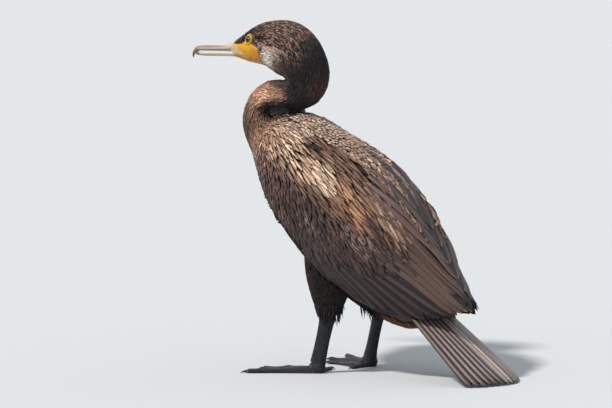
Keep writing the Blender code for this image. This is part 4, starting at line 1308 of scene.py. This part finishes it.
links.new(streak_light.outputs[0], horn_tone.inputs["Scale"])
links.new(horn_tone.outputs[0], shader.inputs["Base Color"])
horn_relief = node(nodes, "ShaderNodeBump", _Strength=0.25, _Distance=0.0003)
links.new(streaks.outputs["Fac"], horn_relief.inputs["Height"])
links.new(horn_relief.outputs[0], shader.inputs["Normal"])
shader.inputs["Coat Weight"].default_value = 0.25
shader.inputs["Coat Roughness"].default_value = 0.2

upper_rows = [
    (-157, 413.2, 402.6, 9.2), (-163.3, 412.6, 402.4, 9.0), (-178, 410.6, 401.6, 7.0), (-194, 409.4, 400.8, 5.9),
    (-209, 408.0, 400.2, 5.2), (-219, 406.0, 399.0, 4.6), (-225, 402.4, 395.4, 3.6), (-228, 397.6, 391.6, 2.2),
    (-227.6, 391.8, 389.6, 0.8),
]
lower_rows = [
    (-157, 402.4, 393.6, 8.8), (-163.3, 402.0, 393.8, 8.6), (-178, 401.2, 393.6, 6.6), (-194, 400.4, 393.2, 5.4),
    (-209, 399.7, 392.7, 4.6), (-219, 398.2, 393.2, 3.4), (-223, 396.6, 394.0, 1.9),
]
horn_sheath("bill_upper_horn", upper_rows, True, [
    # The culmen strip is pale horn with a painted highlight along the top of the bill.
    ("culmen with painted highlight", -190, 411, 34, 2.4, 2, (250, 234, 222), 0.9),
    ("side stripe", -200, 405.4, 30, 1.7, 3, (142, 128, 122), 0.8),
    # The dark gape line is partly the gap between the sheaths and partly painted shadow under the upper sheath's edge.
    ("gape line with painted shadow", -196, 401.2, 40, 1.1, 2, (72, 60, 56), 0.9),
    ("nail", -225, 399, 7, 8, -50, (172, 112, 62), 0.9),
    ("nail tip", -228, 393, 3, 5, 0, (120, 66, 34), 0.9),
    ("face end", -164, 408, 7, 6, 0, (222, 196, 150), 0.6),
], (236, 214, 202), "bill_upper")
horn_sheath("bill_lower_horn", lower_rows, False, [
    ("upper strip", -192, 398.8, 32, 2.2, 1, (254, 242, 224), 0.9),
    # On the lower sheath the gape line is partly the gap and partly painted shadow cast by the upper sheath's edge.
    ("gape line with painted shadow", -196, 401.0, 40, 0.8, 2, (84, 70, 62), 0.7),
    ("lower edge", -196, 393.4, 34, 1.6, 0, (176, 152, 84), 0.85),
    ("tip", -221, 395, 6, 4, 0, (100, 92, 62), 0.85),
], (234, 218, 190), "bill_lower")

# The eyes: dark teal balls with a clear bulging front, each set in a ring of bare yellow skin.
skin_tree = BVHTree.FromPolygons([Vector(p) for p in skin_at], [list(p.vertices) for p in skin_mesh.polygons])
ball_radius, opening = 4.9, 3.5
ring_turns = np.linspace(0, 2 * math.pi, 48, endpoint=False)


eye_paint, shader, nodes, links = painted("wet_eye", 0.08, 0.35)
tone_read = node(nodes, "ShaderNodeAttribute", attribute_name="tone")
place_read = node(nodes, "ShaderNodeTexCoord")
fibres = node(nodes, "ShaderNodeTexNoise", _Scale=2600.0, _Detail=2.0)
links.new(place_read.outputs["Object"], fibres.inputs["Vector"])
fibre_light = node(nodes, "ShaderNodeMapRange")
fibre_light.inputs["To Min"].default_value, fibre_light.inputs["To Max"].default_value = 0.6, 1.4
links.new(fibres.outputs["Fac"], fibre_light.inputs["Value"])
eye_tone = node(nodes, "ShaderNodeVectorMath", operation="SCALE")
links.new(tone_read.outputs["Color"], eye_tone.inputs[0])
links.new(fibre_light.outputs[0], eye_tone.inputs["Scale"])
links.new(eye_tone.outputs[0], shader.inputs["Base Color"])
shader.inputs["Coat Weight"].default_value = 0.2
shader.inputs["Coat Roughness"].default_value = 0.03
for side_name, side in SIDES.items():
    hit, _, _, _ = skin_tree.ray_cast(Vector((side * 60, eye_y, eye_z)), Vector((-side, 0, 0)))
    surface_x = abs(hit.x)
    middle_x = surface_x - 3.2
    rings, colours = [], []
    for tilt in np.radians([2, 10, 19, 26, 29, 36, 44, 52, 62, 78, 100, 130, 160, 176]):
        bulge = 0.35 * math.exp(-((tilt / 0.55) ** 2))
        reach = ball_radius + bulge
        turns = np.linspace(0, 2 * math.pi, 32, endpoint=False)
        rings.extend([
            (
                side * (middle_x + reach * math.cos(tilt)), eye_y + reach * math.sin(tilt) * math.cos(t),
                eye_z + reach * math.sin(tilt) * math.sin(t)
            )
            for t in turns
        ])
        pupil, iris = linear(12, 12, 16), linear(26, 52, 66)
        share = float(ramp(0.46, 0.52, tilt))
        rim = float(ramp(0.74, 0.84, tilt))
        tone = (pupil + (iris - pupil) * share) * (1 - rim) + linear(20, 22, 26) * rim
        colours.extend([tone] * len(turns))
    ball = lofted("eyeball_" + side_name, rings, len(turns), np.array(colours), eye_paint)
    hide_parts("eye_" + side_name)
    rings, colours = [], []
    for share in np.linspace(0, 1, 9):
        for t in ring_turns:
            wide, high = opening + (6.0 - opening) * share, opening + 0.2 + (7.2 - opening) * share
            y, z = eye_y + wide * math.cos(t) + 0.2 * share, eye_z + high * math.sin(t)
            found, _, _, _ = skin_tree.ray_cast(Vector((side * 60, y, z)), Vector((-side, 0, 0)))
            rise = (
                1.25 * math.sin(math.pi * min(1, share * 1.08)) ** 0.8 * (1 + 0.10 * math.sin(9 * t))
                - 0.9 * (1 - share) ** 4 - 0.35 * share**3
            )
            rings.append((side * (abs(found.x) + rise), y, z))
        tone = linear(255, 196, 10) * (0.55 + 0.45 * math.sin(math.pi * min(1, share + 0.25)) ** 0.5)
        colours.extend([tone if share > 0.05 else linear(70, 44, 20)] * len(ring_turns))
    lid = lofted("eye_ring_" + side_name, rings, len(ring_turns), np.array(colours), skin_paint, closed=False)

# Claws: the frame's own short curved claws, in dark horn.
claw_paint, shader, nodes, links = painted("dark_claw_horn", 0.35, 0.5)
place_read = node(nodes, "ShaderNodeTexCoord")
claw_cloud = node(nodes, "ShaderNodeTexNoise", _Scale=700.0, _Detail=3.0)
links.new(place_read.outputs["Object"], claw_cloud.inputs["Vector"])
claw_ramp = node(nodes, "ShaderNodeValToRGB")
claw_ramp.color_ramp.elements[0].color = (*linear(28, 24, 26), 1)
claw_ramp.color_ramp.elements[1].color = (*linear(74, 64, 60), 1)
links.new(claw_cloud.outputs["Fac"], claw_ramp.inputs["Fac"])
links.new(claw_ramp.outputs["Color"], shader.inputs["Base Color"])
for name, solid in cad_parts.items():
    if name.startswith("claw"):
        solid.data.materials.clear()
        solid.data.materials.append(claw_paint)
